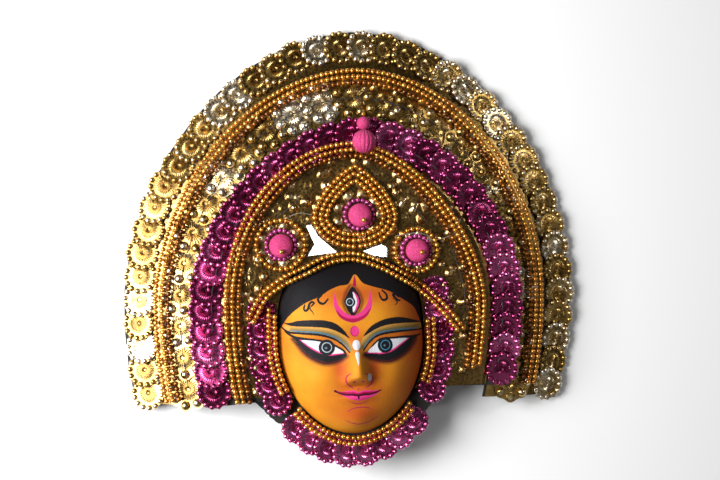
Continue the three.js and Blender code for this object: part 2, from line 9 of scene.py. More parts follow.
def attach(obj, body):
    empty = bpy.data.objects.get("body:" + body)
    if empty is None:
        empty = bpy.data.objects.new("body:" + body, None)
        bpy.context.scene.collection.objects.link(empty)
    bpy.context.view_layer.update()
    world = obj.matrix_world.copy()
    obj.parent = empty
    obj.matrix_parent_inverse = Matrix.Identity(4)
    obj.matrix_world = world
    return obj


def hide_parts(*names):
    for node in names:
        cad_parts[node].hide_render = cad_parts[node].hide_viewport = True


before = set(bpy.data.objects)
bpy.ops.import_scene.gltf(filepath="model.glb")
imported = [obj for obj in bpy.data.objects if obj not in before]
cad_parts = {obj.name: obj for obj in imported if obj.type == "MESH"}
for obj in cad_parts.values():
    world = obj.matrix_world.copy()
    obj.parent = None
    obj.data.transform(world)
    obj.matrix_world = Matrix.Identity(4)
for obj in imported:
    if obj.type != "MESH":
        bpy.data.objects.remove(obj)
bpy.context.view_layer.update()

# Camera, floor and light: the mask lies face up on a pale floor, seen from above and a little from its left.
# One large soft light stands low on the left, with a weak one overhead, a small one on the right for glints
# and a faint one under the crown, which keeps the floor bright behind its two gaps.
MM = 0.001
crown_middle = (-0.077, -56.131)
view_yaw = math.radians(7.0)
view_distance = 1600.0
sensor_width = 36.0
picture_pixels, focal_pixels = 720.0, 1538.46
aim = Vector((0.0, 0.0, 0.03))


def place(x, y, z):
    """A point given in millimetres from the middle of the outer crown, in metres in the part's frame."""
    return Vector((x + crown_middle[0], y + crown_middle[1], z)) * MM


view_target = place(9.6, 62.4, 20.0)
view_back = Vector((-math.sin(view_yaw), 0.0, math.cos(view_yaw)))
bpy.ops.object.camera_add(
    location=view_target + view_back * view_distance * MM, rotation=(0.0, -view_yaw, 0.0)
)
camera = bpy.context.object
camera.data.sensor_width = sensor_width
camera.data.lens = sensor_width * focal_pixels / picture_pixels
bpy.context.scene.camera = camera

bpy.ops.mesh.primitive_plane_add(size=8.0)
floor = bpy.context.object
floor.name = "floor"
floor_paint = bpy.data.materials.new("pale_floor")
floor_paint.use_nodes = True
floor_shader = floor_paint.node_tree.nodes["Principled BSDF"]
floor_shader.inputs["Base Color"].default_value = (0.93, 0.93, 0.93, 1.0)
floor_shader.inputs["Roughness"].default_value = 0.8
floor.data.materials.append(floor_paint)

room = bpy.data.worlds.new("room")
room.use_nodes = True
room.node_tree.nodes["Background"].inputs["Color"].default_value = (1.0, 1.0, 1.0, 1.0)
room.node_tree.nodes["Background"].inputs["Strength"].default_value = 0.040
bpy.context.scene.world = room
bpy.context.scene.view_settings.view_transform = "Standard"
for name, spot, size, power in (
    ("key_light", (-1.08, 0.05, 0.90), 0.9, 44.0),
    ("fill_light", (0.9, -0.9, 1.5), 1.2, 1.6),
    ("glint_light", (1.1, 0.5, 1.1), 0.16, 3.0),
    ("light_behind_gaps", (-0.01, 0.0, 0.030), 0.07, 0.12),
):
    bpy.ops.object.light_add(type="AREA", location=spot)
    lamp = bpy.context.object
    lamp.name = name
    lamp.data.size = size
    lamp.data.energy = power
    if name != "light_behind_gaps":
        lamp.rotation_euler = (aim - Vector(spot)).to_track_quat("-Z", "Y").to_euler()

# Outer crown board: two layers of card, cut as an arch on two legs, bent back a little towards its edge and
# painted black. It stays as the solid has it.


def new_finish(name, color, rough, metal=0.0):
    """A material with its Principled shader; returns the material, its nodes, its links and the shader."""
    finish = bpy.data.materials.new(name)
    finish.use_nodes = True
    finish.diffuse_color = (*color, 1.0)
    nodes = finish.node_tree.nodes
    shader = nodes["Principled BSDF"]
    shader.inputs["Base Color"].default_value = (*color, 1.0)
    shader.inputs["Roughness"].default_value = rough
    shader.inputs["Metallic"].default_value = metal
    return finish, nodes, finish.node_tree.links, shader


def unevenness_group():
    """Cloudy unevenness for any finish: a mask of large patches, a fine grain and a height for bumps."""
    group = bpy.data.node_groups.new("unevenness", "ShaderNodeTree")
    group.interface.new_socket("Patch Scale", in_out="INPUT", socket_type="NodeSocketFloat")
    group.interface.new_socket("Grain Scale", in_out="INPUT", socket_type="NodeSocketFloat")
    for socket in ("Patches", "Grain", "Height"):
        group.interface.new_socket(socket, in_out="OUTPUT", socket_type="NodeSocketFloat")
    nodes, links = group.nodes, group.links
    entry = nodes.new("NodeGroupInput")
    outcome = nodes.new("NodeGroupOutput")
    where = nodes.new("ShaderNodeTexCoord")
    found = []
    for socket, detail in (("Patch Scale", 4.0), ("Grain Scale", 6.0)):
        cloud = nodes.new("ShaderNodeTexNoise")
        cloud.inputs["Detail"].default_value = detail
        links.new(where.outputs["Object"], cloud.inputs["Vector"])
        links.new(entry.outputs[socket], cloud.inputs["Scale"])
        sharpen = nodes.new("ShaderNodeMapRange")
        sharpen.inputs["From Min"].default_value = 0.33
        sharpen.inputs["From Max"].default_value = 0.67
        links.new(cloud.outputs["Fac"], sharpen.inputs["Value"])
        found.append(sharpen.outputs["Result"])
    both = nodes.new("ShaderNodeMath")
    both.operation = "MULTIPLY_ADD"
    both.inputs[1].default_value = 0.5
    links.new(found[0], both.inputs[0])
    links.new(found[1], both.inputs[2])
    links.new(found[0], outcome.inputs["Patches"])
    links.new(found[1], outcome.inputs["Grain"])
    links.new(both.outputs["Value"], outcome.inputs["Height"])
    return group


unevenness = unevenness_group()


def add_unevenness(nodes, patch_scale, grain_scale):
    """The unevenness in one material, with its own scales."""
    node = nodes.new("ShaderNodeGroup")
    node.node_tree = unevenness
    node.inputs["Patch Scale"].default_value = patch_scale
    node.inputs["Grain Scale"].default_value = grain_scale
    return node


def add_ramp(nodes, links, value, stops):
    """A colour for a value between 0 and 1, from stops of (position, colour)."""
    ramp = nodes.new("ShaderNodeValToRGB")
    while len(ramp.color_ramp.elements) < len(stops):
        ramp.color_ramp.elements.new(0.5)
    for element, (position, color) in zip(ramp.color_ramp.elements, stops):
        element.position = position
        element.color = (*color, 1.0)
    links.new(value, ramp.inputs["Fac"])
    return ramp.outputs["Color"]


def add_range(nodes, links, value, low, high):
    """The value, from 0 to 1, spread between low and high."""
    spread_out = nodes.new("ShaderNodeMapRange")
    spread_out.inputs["To Min"].default_value = low
    spread_out.inputs["To Max"].default_value = high
    links.new(value, spread_out.inputs["Value"])
    return spread_out.outputs["Result"]


def add_bump(nodes, links, shader, height, depth):
    """A bump as deep as the given millimetres where the height is 1."""
    bump = nodes.new("ShaderNodeBump")
    bump.inputs["Strength"].default_value = 1.0
    bump.inputs["Distance"].default_value = depth * MM
    links.new(height, bump.inputs["Height"])
    links.new(bump.outputs["Normal"], shader.inputs["Normal"])


def mottled_finish(name, color, rough, metal, scales, mask, colors):
    """A finish that runs through the colours by its patches or its grain; returns its unevenness too."""
    finish, nodes, links, shader = new_finish(name, color, rough, metal)
    clouds = add_unevenness(nodes, *scales)
    stops = [(i / (len(colors) - 1), shade) for i, shade in enumerate(colors)]
    links.new(add_ramp(nodes, links, clouds.outputs[mask], stops), shader.inputs["Base Color"])
    return finish, nodes, links, shader, clouds


black_card, nodes, links, shader, clouds = mottled_finish(
    "black_card",
    (0.012, 0.011, 0.010),
    0.85,
    0.0,
    (35.0, 700.0),
    "Patches",
    ((0.008, 0.007, 0.006), (0.026, 0.021, 0.018)),
)
add_bump(nodes, links, shader, clouds.outputs["Grain"], 0.15)


def dress(node, finish):
    """A solid that stays as it is takes a finish in its own material slot."""
    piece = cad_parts[node]
    piece.data.materials.clear()
    piece.data.materials.append(finish)


dress("outer_crown_board", black_card)

# Gold rosettes of the rim: film stamped in a die with a ribbed ring, a centre pit and a circle of domes, then
# sewn down at its middle on the board, each one's near edge on the far edge of the one before.
rosette_radius = 18.4
rosette_thickness = 3.2
rosette_step = 2.2
rim_inset = 15.5
rim_count = 40
crown_half_width = 234.0
crown_top = 281.0
crown_skew = 0.03
crown_power = 1.9
crown_rise = 30.0
crown_flat_share = 0.58
leg_lean, leg_length = 10.0, 96.0
outer_feet = (-106.0, -101.0)
leg_steps, arch_steps = 16, 120
on_outer_board = 3.8
foil_edge_depth = 0.5
scallop_depth = 0.05
# Painted light on the stamped relief: painted shade in the hollows between ribs, a painted highlight on the
# ribs, a middle value on plain film.
valley_painted_shade, rib_painted_highlight, plain_painted_light = 0.1, 0.8, 0.25
pressed_share, pressed_depth, pressed_margin = 0.15, 0.8, 0.6
tilt_unrest, height_unrest = 0.04, 0.15
tone_weight, painted_light_weight, fully_bright = 1.3, 1.1, 3.3
rim_bulges = ((5.0, 10.0, 32.0), (3.0, 156.0, 10.0))


def bell(value, middle, width):
    """1 at the middle, falling softly to 0 on both sides."""
    return np.exp(-(((value - middle) / width) ** 2))


def lean_at(y):
    """How far a leg of the crown has leant inwards at a level below its middle."""
    return leg_lean * (y / leg_length) ** 2


def crown_height(x, y):
    """Height of the back of the crown: flat in the middle and falling to its edge."""
    across = abs(x - crown_skew * max(0.0, y))
    if y > 0:
        wide, high = across / crown_half_width, y / crown_top
        share = (wide**crown_power + high**crown_power) ** (1 / crown_power)
    else:
        share = (across + lean_at(y)) / crown_half_width
    fall = max(0.0, (share - crown_flat_share) / (1.0 - crown_flat_share))
    return crown_rise * (1.0 - fall**1.5)


def arch_line(middle, half_width, top, left_power, right_power, left_end, right_end, skew=0.0):
    """An arch on two legs that lean inwards, from the foot of its left leg to that of its right leg."""
    line = []
    for i in range(leg_steps):
        y = left_end * (1 - i / leg_steps)
        line.append((middle - half_width + lean_at(y), y))
    for i in range(arch_steps + 1):
        angle = math.pi * (1 - i / arch_steps)
        power = 2 / (left_power if angle > math.pi / 2 else right_power)
        across = math.copysign(abs(math.cos(angle)) ** power, math.cos(angle))
        up = top * max(0.0, math.sin(angle)) ** power
        line.append((middle + half_width * across + skew * up, up))
    for i in range(1, leg_steps + 1):
        y = right_end * i / leg_steps
        line.append((middle + half_width - lean_at(y), y))
    return line


def spread(line, count, start=0.0, end=1.0):
    """Places spread evenly along a line, as (x, y, heading)."""
    line = np.array(line)
    steps = np.diff(line, axis=0)
    lengths = np.concatenate(([0.0], np.cumsum(np.hypot(*steps.T))))
    goals = lengths[-1] * np.linspace(start, end, count)
    xs = np.interp(goals, lengths, line[:, 0])
    ys = np.interp(goals, lengths, line[:, 1])
    segment = np.clip(np.searchsorted(lengths, goals) - 1, 0, len(steps) - 1)
    headings = np.arctan2(steps[segment, 1], steps[segment, 0])
    return [(float(x), float(y), float(h)) for x, y, h in zip(xs, ys, headings)]


def moved(line, distance):
    """The same line moved sideways, outwards where the distance is positive."""
    return [(x - math.sin(h) * distance, y + math.cos(h) * distance) for x, y, h in spread(line, len(line))]


def outer_arch(inset, top_inset):
    """The outer crown's outline moved inwards by an inset, and by another at its top."""
    half_width, top = crown_half_width - inset, crown_top - top_inset
    return arch_line(0.0, half_width, top, crown_power, crown_power, *outer_feet, crown_skew)


def new_piece(name):
    """The shape that was just added, under its name."""
    piece = bpy.context.object
    piece.name = name
    piece.data.name = name
    return piece


def set_values(piece, name, values):
    """One number for each vertex, which a finish reads by its name."""
    layer = piece.data.attributes.new(name, "FLOAT", "POINT")
    layer.data.foreach_set("value", values)


def select_only(*pieces):
    """The pieces alone selected, with the first one active."""
    bpy.ops.object.select_all(action="DESELECT")
    for piece in pieces:
        piece.select_set(True)
    bpy.context.view_layer.objects.active = pieces[0]


def stamped_rosette(name, ribs, rings, scallops, dome_circle, dome_radius, dome_sides):
    """One rosette at the origin: rings of (radius, height, rib height) from the middle out, then domes."""
    bpy.ops.object.select_all(action="DESELECT")
    bpy.ops.mesh.primitive_circle_add(vertices=3 * ribs, radius=rings[0][0] * MM, fill_type="NGON")
    die = new_piece(name)
    bpy.ops.object.mode_set(mode="EDIT")
    bpy.ops.mesh.select_mode(type="EDGE")
    bpy.ops.mesh.select_all(action="DESELECT")
    bpy.ops.mesh.select_non_manifold()
    for inner, outer in zip(rings, rings[1:]):
        grow = outer[0] / inner[0]
        bpy.ops.mesh.extrude_edges_move()
        bpy.ops.transform.resize(value=(grow, grow, 1.0), center_override=(0.0, 0.0, 0.0))
    bpy.ops.mesh.extrude_edges_move(TRANSFORM_OT_translate={"value": (0.0, 0.0, -foil_edge_depth * MM)})
    bpy.ops.mesh.edge_face_add()
    bpy.ops.mesh.select_all(action="SELECT")
    bpy.ops.mesh.normals_make_consistent(inside=False)
    bpy.ops.object.mode_set(mode="OBJECT")
    radii = np.array([r for r, _, _ in rings])
    painted_light_values = []
    for vertex in die.data.vertices:
        x, y, z = vertex.co / MM
        radius, angle = math.hypot(x, y), math.atan2(y, x)
        rib = 1.0 if round(angle * 3 * ribs / (2 * math.pi)) % 3 == 0 else 0.0
        lift = float(np.interp(radius, radii, [h for _, h, _ in rings]))
        ribbing = float(np.interp(radius, radii, [b for _, _, b in rings]))
        at_edge = radius > rings[-2][0] + 0.01
        bulge = 1.0 + (scallop_depth * math.cos(scallops * angle) if at_edge else 0.0)
        vertex.co = Vector((x * bulge, y * bulge, z + lift + rib * ribbing)) * MM
        # Painted light: ribs get a painted highlight, the hollows between them painted shade.
        painted_light_values.append(valley_painted_shade + rib_painted_highlight * rib if ribbing > 0.05 else plain_painted_light)
    bpy.ops.object.mode_set(mode="EDIT")
    for k in range(scallops):
        angle = 2.0 * math.pi * k / scallops
        spot = Vector((math.cos(angle), math.sin(angle), 0.0)) * dome_circle * MM
        bpy.ops.mesh.primitive_uv_sphere_add(
            segments=dome_sides, ring_count=dome_sides // 2 + 1, radius=dome_radius * MM, location=spot
        )
        bpy.ops.mesh.bisect(
            plane_co=(0.0, 0.0, -0.1 * MM), plane_no=(0.0, 0.0, 1.0), use_fill=True, clear_inner=True
        )
    bpy.ops.object.mode_set(mode="OBJECT")
    bpy.ops.object.shade_smooth_by_angle(angle=math.radians(40.0))
    # Painted highlight on the domes, brighter towards their tops.
    dome_painted_highlight = [min(1.0, max(0.0, vertex.co.z / MM / dome_radius)) for vertex in die.data.vertices]
    set_values(die, "painted_highlight_and_shade", painted_light_values + dome_painted_highlight[len(painted_light_values) :])
    return die


def lay_row(
    name, die, places, height_at, seed, lift=2.0, scale=1.0, lean=0.0, stray=0.0, unrest=0.08, painted_brightening=0.0
):
    """A row of copies of one rosette, each pressed flat where the next one's raised near edge covers it."""
    chance = random.Random(seed)
    pitch = math.dist(places[0][:2], places[1][:2])
    tilt = math.atan2(rosette_step, pitch)
    reach = max(math.hypot(*vertex.co.xy) for vertex in die.data.vertices) / (rosette_radius * MM)
    copies = []
    for x, y, heading in places:
        aside = chance.uniform(-stray, stray)
        x, y = x - math.sin(heading) * aside, y + math.cos(heading) * aside
        select_only(die)
        bpy.ops.object.duplicate()
        copy = bpy.context.object
        slope = Vector(
            (height_at(x - 1, y) - height_at(x + 1, y), height_at(x, y - 1) - height_at(x, y + 1), 2.0)
        ).normalized()
        spin = Matrix.Rotation(chance.uniform(0.0, 6.28), 4, "Z")
        copy.data.transform(Matrix.Scale(scale, 4) @ spin)
        for vertex in copy.data.vertices:
            covered = (rosette_radius - pressed_margin) * scale * MM * reach
            if math.dist(vertex.co.xy, (pitch * MM, 0.0)) < covered:
                vertex.co.z = pressed_share * vertex.co.z - pressed_depth * MM
        turn = (
            Vector((0.0, 0.0, 1.0)).rotation_difference(slope).to_matrix().to_4x4()
            @ Matrix.Rotation(heading, 4, "Z")
            @ Matrix.Rotation(tilt + chance.uniform(-tilt_unrest, tilt_unrest), 4, "Y")
            @ Matrix.Rotation(lean + chance.uniform(-unrest, unrest), 4, "X")
        )
        spot = place(x, y, height_at(x, y) + lift + chance.uniform(-height_unrest, height_unrest))
        copy.data.transform(Matrix.Translation(spot) @ turn)
        # Tone: a random brightness for each rosette, which stands in for reflections flashing on some of
        # them, plus the painted brightening of a row painted as lit.
        set_values(copy, "tone", [painted_brightening + chance.random() ** 2] * len(copy.data.vertices))
        copies.append(copy)
    select_only(*copies)
    bpy.ops.object.join()
    return new_piece(name)


def read_values(nodes, name):
    """What a finish reads of the numbers under a name."""
    source = nodes.new("ShaderNodeAttribute")
    source.attribute_name = name
    return source.outputs["Fac"]


def foil_finish(name, dark, middle, light, rough, crease):
    """Metallised film: uneven from rosette to rosette, partly as painted reflection, with painted highlights
    on the domes and ribs and painted shade in the hollows.
    """
    finish, nodes, links, shader = new_finish(name, middle, rough, 1.0)
    clouds = add_unevenness(nodes, 60.0, 420.0)
    total = clouds.outputs["Patches"]
    # Tone and painted light lift the colour from dark towards light.
    for source, weight in (("tone", tone_weight), ("painted_highlight_and_shade", painted_light_weight)):
        add = nodes.new("ShaderNodeMath")
        add.operation = "MULTIPLY_ADD"
        add.inputs[1].default_value = weight
        links.new(read_values(nodes, source), add.inputs[0])
        links.new(total, add.inputs[2])
        total = add.outputs["Value"]
    share = nodes.new("ShaderNodeMapRange")
    share.inputs["From Max"].default_value = fully_bright
    links.new(total, share.inputs["Value"])
    stops = ((0.0, dark), (0.45, middle), (0.85, light))
    links.new(add_ramp(nodes, links, share.outputs["Result"], stops), shader.inputs["Base Color"])
    dullness = add_range(nodes, links, clouds.outputs["Grain"], rough - 0.08, rough + 0.12)
    links.new(dullness, shader.inputs["Roughness"])
    add_bump(nodes, links, shader, clouds.outputs["Height"], crease)
    shader.inputs["Coat Weight"].default_value = 0.8
    shader.inputs["Coat Roughness"].default_value = 0.25
    return finish


def finish_piece(piece, finish, node=None):
    """A piece takes its finish, stands for its solid where it has one, and lies still with the mask."""
    piece.data.materials.append(finish)
    if node:
        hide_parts(node)
    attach(piece, "root")


gold_film = foil_finish("gold_film", (0.15, 0.075, 0.009), (0.52, 0.32, 0.07), (1.0, 0.96, 0.84), 0.28, 0.06)


def on_outer(x, y):
    """Level of the outer board's front."""
    return crown_height(x, y) + on_outer_board


small_die = stamped_rosette(
    "small_rosette_die",
    ribs=28,
    rings=(
        (0.9, -0.6, 0.0),
        (1.8, 0.0, 0.1),
        (3.2, 0.1, 0.6),
        (6.0, 0.1, 0.9),
        (9.4, -0.1, 0.3),
        (10.4, -0.15, 0.0),
        (12.6, -0.1, 0.0),
        (17.6, 0.1, 0.0),
    ),
    scallops=14,
    dome_circle=15.4,
    dome_radius=3.0,
    dome_sides=12,
)


def stray_of_rim(x, y):
    """How far the hand-sewn rim stands out from its even line, which it does most low on the right."""
    turn = math.degrees(math.atan2(y, x))
    return sum(far * float(bell(turn, middle, width)) for far, middle, width in rim_bulges)


rim_places = []
for x, y, heading in spread(outer_arch(rim_inset, rim_inset), rim_count, 0.012, 0.988):
    out = stray_of_rim(x, y)
    rim_places.append((x - math.sin(heading) * out, y + math.cos(heading) * out, heading))
rim_row = lay_row(
    "rim_of_gold_rosettes", small_die, rim_places, on_outer, 11, lean=0.06, stray=1.0, unrest=0.16
)
finish_piece(rim_row, gold_film, "gold_rosette_rim")

# Band of larger gold rosettes: the same film from a bigger die with eight broad domes in scalloped lobes,
# sewn down like the rim and nearer to the face.
band_inset, band_top_inset = 57.0, 71.0
band_count = 25
band_scale = 0.9
large_die = stamped_rosette(
    "large_rosette_die",
    ribs=24,
    rings=(
        (1.2, -0.6, 0.0),
        (2.6, -0.1, 0.3),
        (4.0, 0.3, 0.8),
        (7.5, 0.1, 0.8),
        (11.5, -0.1, 0.4),
        (13.0, -0.3, 0.0),
        (18.0, 0.0, 0.0),
        (24.6, 0.2, 0.0),
    ),
    scallops=8,
    dome_circle=18.8,
    dome_radius=5.6,
    dome_sides=14,
)
band_places = spread(outer_arch(band_inset, band_top_inset), band_count, 0.02, 0.98)
band_row = lay_row("band_of_gold_rosettes", large_die, band_places, on_outer, 23, scale=band_scale)
finish_piece(band_row, gold_film, "gold_rosette_band")

# Film under the rosettes: gold film crumpled onto the card before the rows and the strings were sewn down. It
# shows only where they leave a gap.
film_columns, film_rows = 360, 28
film_thickness, film_crumple, film_sink = 0.1, 0.25, 0.35
smooth_angle = math.radians(35.0)


def crumple(x, y, depth):
    """Height of crumpled film: sharp folds at three sizes."""
    height = []
    for px, py in zip(x, y):
        fold = 0.0
        for size, share in ((24.0, 0.5), (11.0, 0.3), (5.0, 0.2)):
            fold += share * (1 - 2.2 * abs(noise.noise(Vector((px / size, py / size, size)))))
        height.append(depth * fold)
    return np.array(height)


def write_points(piece, x, y, z):
    """Moves a piece's vertices; x and y are millimetres from the middle of the outer crown."""
    spots = np.stack(np.broadcast_arrays(x, y, z), axis=1) + np.array(place(0.0, 0.0, 0.0)) / MM
    piece.data.vertices.foreach_set("co", (spots * MM).ravel())
    piece.data.update()


def sheet_between(name, inner_line, outer_line, columns, rows):
    """A grid laid between two lines; returns the piece and the plan of its vertices."""
    bpy.ops.object.select_all(action="DESELECT")
    bpy.ops.mesh.primitive_grid_add(x_subdivisions=columns, y_subdivisions=rows, size=2.0)
    sheet = new_piece(name)
    grid = np.empty(3 * len(sheet.data.vertices))
    sheet.data.vertices.foreach_get("co", grid)
    column = np.rint((grid[0::3] + 1) / 2 * columns).astype(int)
    share = ((grid[1::3] + 1) / 2)[:, None]
    inner = np.array(spread(inner_line, columns + 1))[column, :2]
    outer = np.array(spread(outer_line, columns + 1))[column, :2]
    x, y = (inner * (1 - share) + outer * share).T
    return sheet, x, y


def thicken(sheet, thickness):
    """A sheet given its thickness, downwards from its front."""
    select_only(sheet)
    body = sheet.modifiers.new("body", "SOLIDIFY")
    body.thickness = thickness * MM
    body.offset = -1.0
    bpy.ops.object.modifier_apply(modifier="body")


def set_tone(piece, value):
    """The same tone all over a piece of film."""
    set_values(piece, "tone", [value] * len(piece.data.vertices))


film, x, y = sheet_between(
    "crown_film", outer_arch(84.0, 96.0), outer_arch(27.0, 25.0), film_columns, film_rows
)
bed = np.array([on_outer(px, py) for px, py in zip(x, y)])
write_points(film, x, y, bed - film_sink + crumple(x, y, film_crumple))
thicken(film, film_thickness)
bpy.ops.object.shade_smooth_by_angle(angle=smooth_angle)
set_tone(film, 0.15)
finish_piece(film, gold_film)

# Stitches: black cotton, on the band from the middle of each rosette to the next, and beside the outer
# strings as a seam of which every other stitch shows.
thread_scales = (300.0, 2500.0)
black_thread, nodes, links, shader, clouds = mottled_finish(
    "black_thread",
    (0.03, 0.028, 0.03),
    0.8,
    0.0,
    thread_scales,
    "Grain",
    ((0.012, 0.012, 0.014), (0.06, 0.055, 0.06)),
)
add_bump(nodes, links, shader, clouds.outputs["Grain"], 0.1)


def curve_through(name, runs):
    """A curve with one straight-edged line through each run of points."""
    line = bpy.data.curves.new(name, "CURVE")
    line.dimensions = "3D"
    for run in runs:
        spline = line.splines.new("POLY")
        spline.points.add(len(run) - 1)
        for target, point in zip(spline.points, run):
            target.co = (*place(*point), 1.0)
    curve = bpy.data.objects.new(name, line)
    bpy.context.scene.collection.objects.link(curve)
    return curve


def threads(name, runs, radius, finish):
    """Lengths of thread through given points, as one piece."""
    piece = curve_through(name, runs)
    piece.data.bevel_depth = radius * MM
    piece.data.bevel_resolution = 1
    piece.data.use_fill_caps = True
    select_only(piece)
    bpy.ops.object.convert(target="MESH")
    piece = bpy.context.object
    bpy.ops.object.shade_smooth()
    piece.data.materials.append(finish)
    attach(piece, "root")
    return piece


def stitches(places, height_at, low, high, chance):
    """One stitch over each joint of a row, from the pit of one rosette to that of the next."""
    runs = []
    for (ax, ay, _), (bx, by, _) in zip(places, places[1:]):
        run = []
        for share in (0.03, 0.25, 0.5, 0.75, 0.95):
            x, y = ax + (bx - ax) * share + chance.uniform(-0.4, 0.4), ay + (by - ay) * share
            arc = math.sin(math.pi * share)
            run.append((x, y, height_at(x, y) + low + (high - low) * arc))
        runs.append(run)
    return runs


thread_chance = random.Random(5)
threads("band_stitches", stitches(band_places, on_outer, 2.3, 4.6, thread_chance), 0.42, black_thread)
rim_seam = spread(outer_arch(28.5, 32.0), 84, 0.02, 0.98)
threads("rim_stitches", stitches(rim_seam, on_outer, 4.2, 6.4, thread_chance)[::2], 0.35, black_thread)

# Outer bundle of beads: three strings of round gold-lacquered beads on cotton thread, laid over the seam
# between the two rows of rosettes and tied down at intervals.
bead_radius = 2.75
bead_pitch = 5.4
cord_height = 3.0
string_pitch = 6.4
slack = 0.3
outer_string_height = on_outer_board + rosette_thickness + rosette_step / 2 + slack + cord_height


def string_of_beads(name, node, points, finish):
    """One bead, repeated along a cord through the points and bent to it, which stands for a solid string."""
    cord = curve_through(name + "_cord", [points])
    bpy.ops.object.select_all(action="DESELECT")
    bpy.ops.mesh.primitive_ico_sphere_add(subdivisions=2, radius=bead_radius * MM)
    string = new_piece(name)
    bpy.ops.object.shade_smooth()
    row = string.modifiers.new("row", "ARRAY")
    row.fit_type = "FIT_CURVE"
    row.curve = cord
    row.use_relative_offset = False
    row.use_constant_offset = True
    row.constant_offset_displace = (bead_pitch * MM, 0.0, 0.0)
    bend = string.modifiers.new("bend", "CURVE")
    bend.object = cord
    bpy.ops.object.modifier_apply(modifier="row")
    bpy.ops.object.modifier_apply(modifier="bend")
    bpy.data.objects.remove(cord)
    finish_piece(string, finish, node)


def lifted(places, height_at):
    """Places on the plan, each with its height."""
    return [(p[0], p[1], height_at(p[0], p[1])) for p in places]


bead_gold, nodes, links, shader, clouds = mottled_finish(
    "bead_gold",
    (0.64, 0.27, 0.03),
    0.24,
    0.75,
    (150.0, 900.0),
    "Patches",
    ((0.40, 0.12, 0.008), (0.64, 0.26, 0.024), (0.82, 0.44, 0.08)),
)
links.new(add_range(nodes, links, clouds.outputs["Grain"], 0.14, 0.3), shader.inputs["Roughness"])
shader.inputs["Coat Weight"].default_value = 0.6
shader.inputs["Coat Roughness"].default_value = 0.08

# The string on the inner side of each bundle is painted darker: painted shade, as if it lay in the shadow of
# the other two.
bead_gold_in_painted_shade, nodes, links, shader, clouds = mottled_finish(
    "bead_gold_in_painted_shade",
    (0.30, 0.10, 0.01),
    0.35,
    0.8,
    (110.0, 900.0),
    "Patches",
    ((0.06, 0.015, 0.003), (0.22, 0.065, 0.006), (0.42, 0.16, 0.015)),
)
shader.inputs["Coat Weight"].default_value = 0.3


def outer_string(x, y):
    """Level of the cords of the outer bundle."""
    return crown_height(x, y) + outer_string_height


# The third string of each bundle takes the painted-shade finish.
bundle = (("1", 0.5, bead_gold), ("2", -0.5, bead_gold), ("3", -1.5, bead_gold_in_painted_shade))
for number, share, finish in bundle:
    line = moved(outer_arch(36.0, 46.0), share * string_pitch)
    points = lifted(spread(line, 150, 0.005, 0.985), outer_string)
    string_of_beads("outer_string_" + number, "outer_bead_string_" + number, points, finish)

# Painted face: papier-mache, hollow behind, with a flat brim covered in black cloth. It is primed and painted
# by hand in poster colours. Only nose, lips, chin, brows, cheeks and eyes are modelled.
face_x, face_y, face_tilt = -2.0, -44.0, math.radians(3.0)
face_size = (74.5, 86.0, 92.0, 3.2, 1.9)
brim_size = ((114.0, 103.0), 90.0, 122.0, 3.2, 2.0)
face_depth, bowl_power, bowl_fullness = 44.0, 2.6, 0.55
face_wall = 4.0
brim_front = 38.6
nose_height = 16.0
face_grid = (236, 286)
hollow_shares = (1.0, 0.97, 0.9, 0.78, 0.62, 0.45, 0.28, 0.12)


def outline_radius(angle, width, upper, lower, upper_power, lower_power, grow=0.0):
    """Distance of an outline from its middle; the width may differ to the left and to the right."""
    left, right = np.broadcast_to(width, 2)
    width = np.where(np.cos(angle) < 0, left, right)
    height = np.where(np.sin(angle) > 0, upper, lower) + grow
    power = np.where(np.sin(angle) > 0, upper_power, lower_power)
    across = (np.abs(np.cos(angle)) / (width + grow)) ** power
    return (across + (np.abs(np.sin(angle)) / height) ** power) ** (-1 / power)


def soft_step(value, low, high):
    """0 up to the low value and 1 from the high one, with a soft rise between."""
    share = np.clip((value - low) / (high - low), 0.0, 1.0)
    return share * share * (3 - 2 * share)


def face_rise(u, v):
    """Height of the face above its brim, for u to its right and v to its top."""
    share = np.minimum(1.0, np.hypot(u, v) / outline_radius(np.arctan2(v, u), *face_size))
    bowl = face_depth * (1 - share**bowl_power) ** bowl_fullness
    side = np.abs(u)
    bridge = soft_step(-v, -14, 26) ** 1.2 * (1 - soft_step(-v, 29, 41))
    nose = nose_height * bridge * bell(u, 0, 6 + 5 * soft_step(-v, -4, 28))
    nose += 4 * bell(side, 9.5, 5) * bell(v, -33, 5)
    lips = 3.5 * bell(u, 0, 15) * bell(v, -50, 6) - 1.4 * bell(u, 0, 17) * bell(v, -49.5, 1.6)
    chin = 4 * bell(u, 0, 17) * bell(v, -75, 10)
    brow = 2 * bell(side, 26, 20) * bell(v, 18, 6)
    socket = 2 * bell(side, 29, 9) * bell(v, 0, 6) - 3 * bell(side, 29, 15) * bell(v, 1, 9)
    cheek = 2.5 * bell(side, 38, 15) * bell(v, -30, 17)
    fade = 1 - soft_step(share, 0.86, 1)
    return bowl + fade * (nose + lips + chin + brow + socket + cheek)


def hollow_rise(u, v):
    """Height of the hollow behind the face above its brim's back."""
    share = np.minimum(1.0, np.hypot(u, v) / outline_radius(np.arctan2(v, u), *face_size, -face_wall))
    nose = 0.72 * nose_height * soft_step(-v, -10, 24) * (1 - soft_step(-v, 27, 38)) * bell(u, 0, 6)
    return face_depth * (1 - share**bowl_power) ** bowl_fullness + nose


def face_to_crown(u, v):
    """A place on the face's own plan, on the crown's plan."""
    cosine, sine = math.cos(face_tilt), math.sin(face_tilt)
    return face_x + u * cosine - v * sine, face_y + u * sine + v * cosine


def crown_to_face(x, y):
    """A place on the crown's plan, on the face's own plan."""
    cosine, sine = math.cos(face_tilt), math.sin(face_tilt)
    return (x - face_x) * cosine + (y - face_y) * sine, (y - face_y) * cosine - (x - face_x) * sine


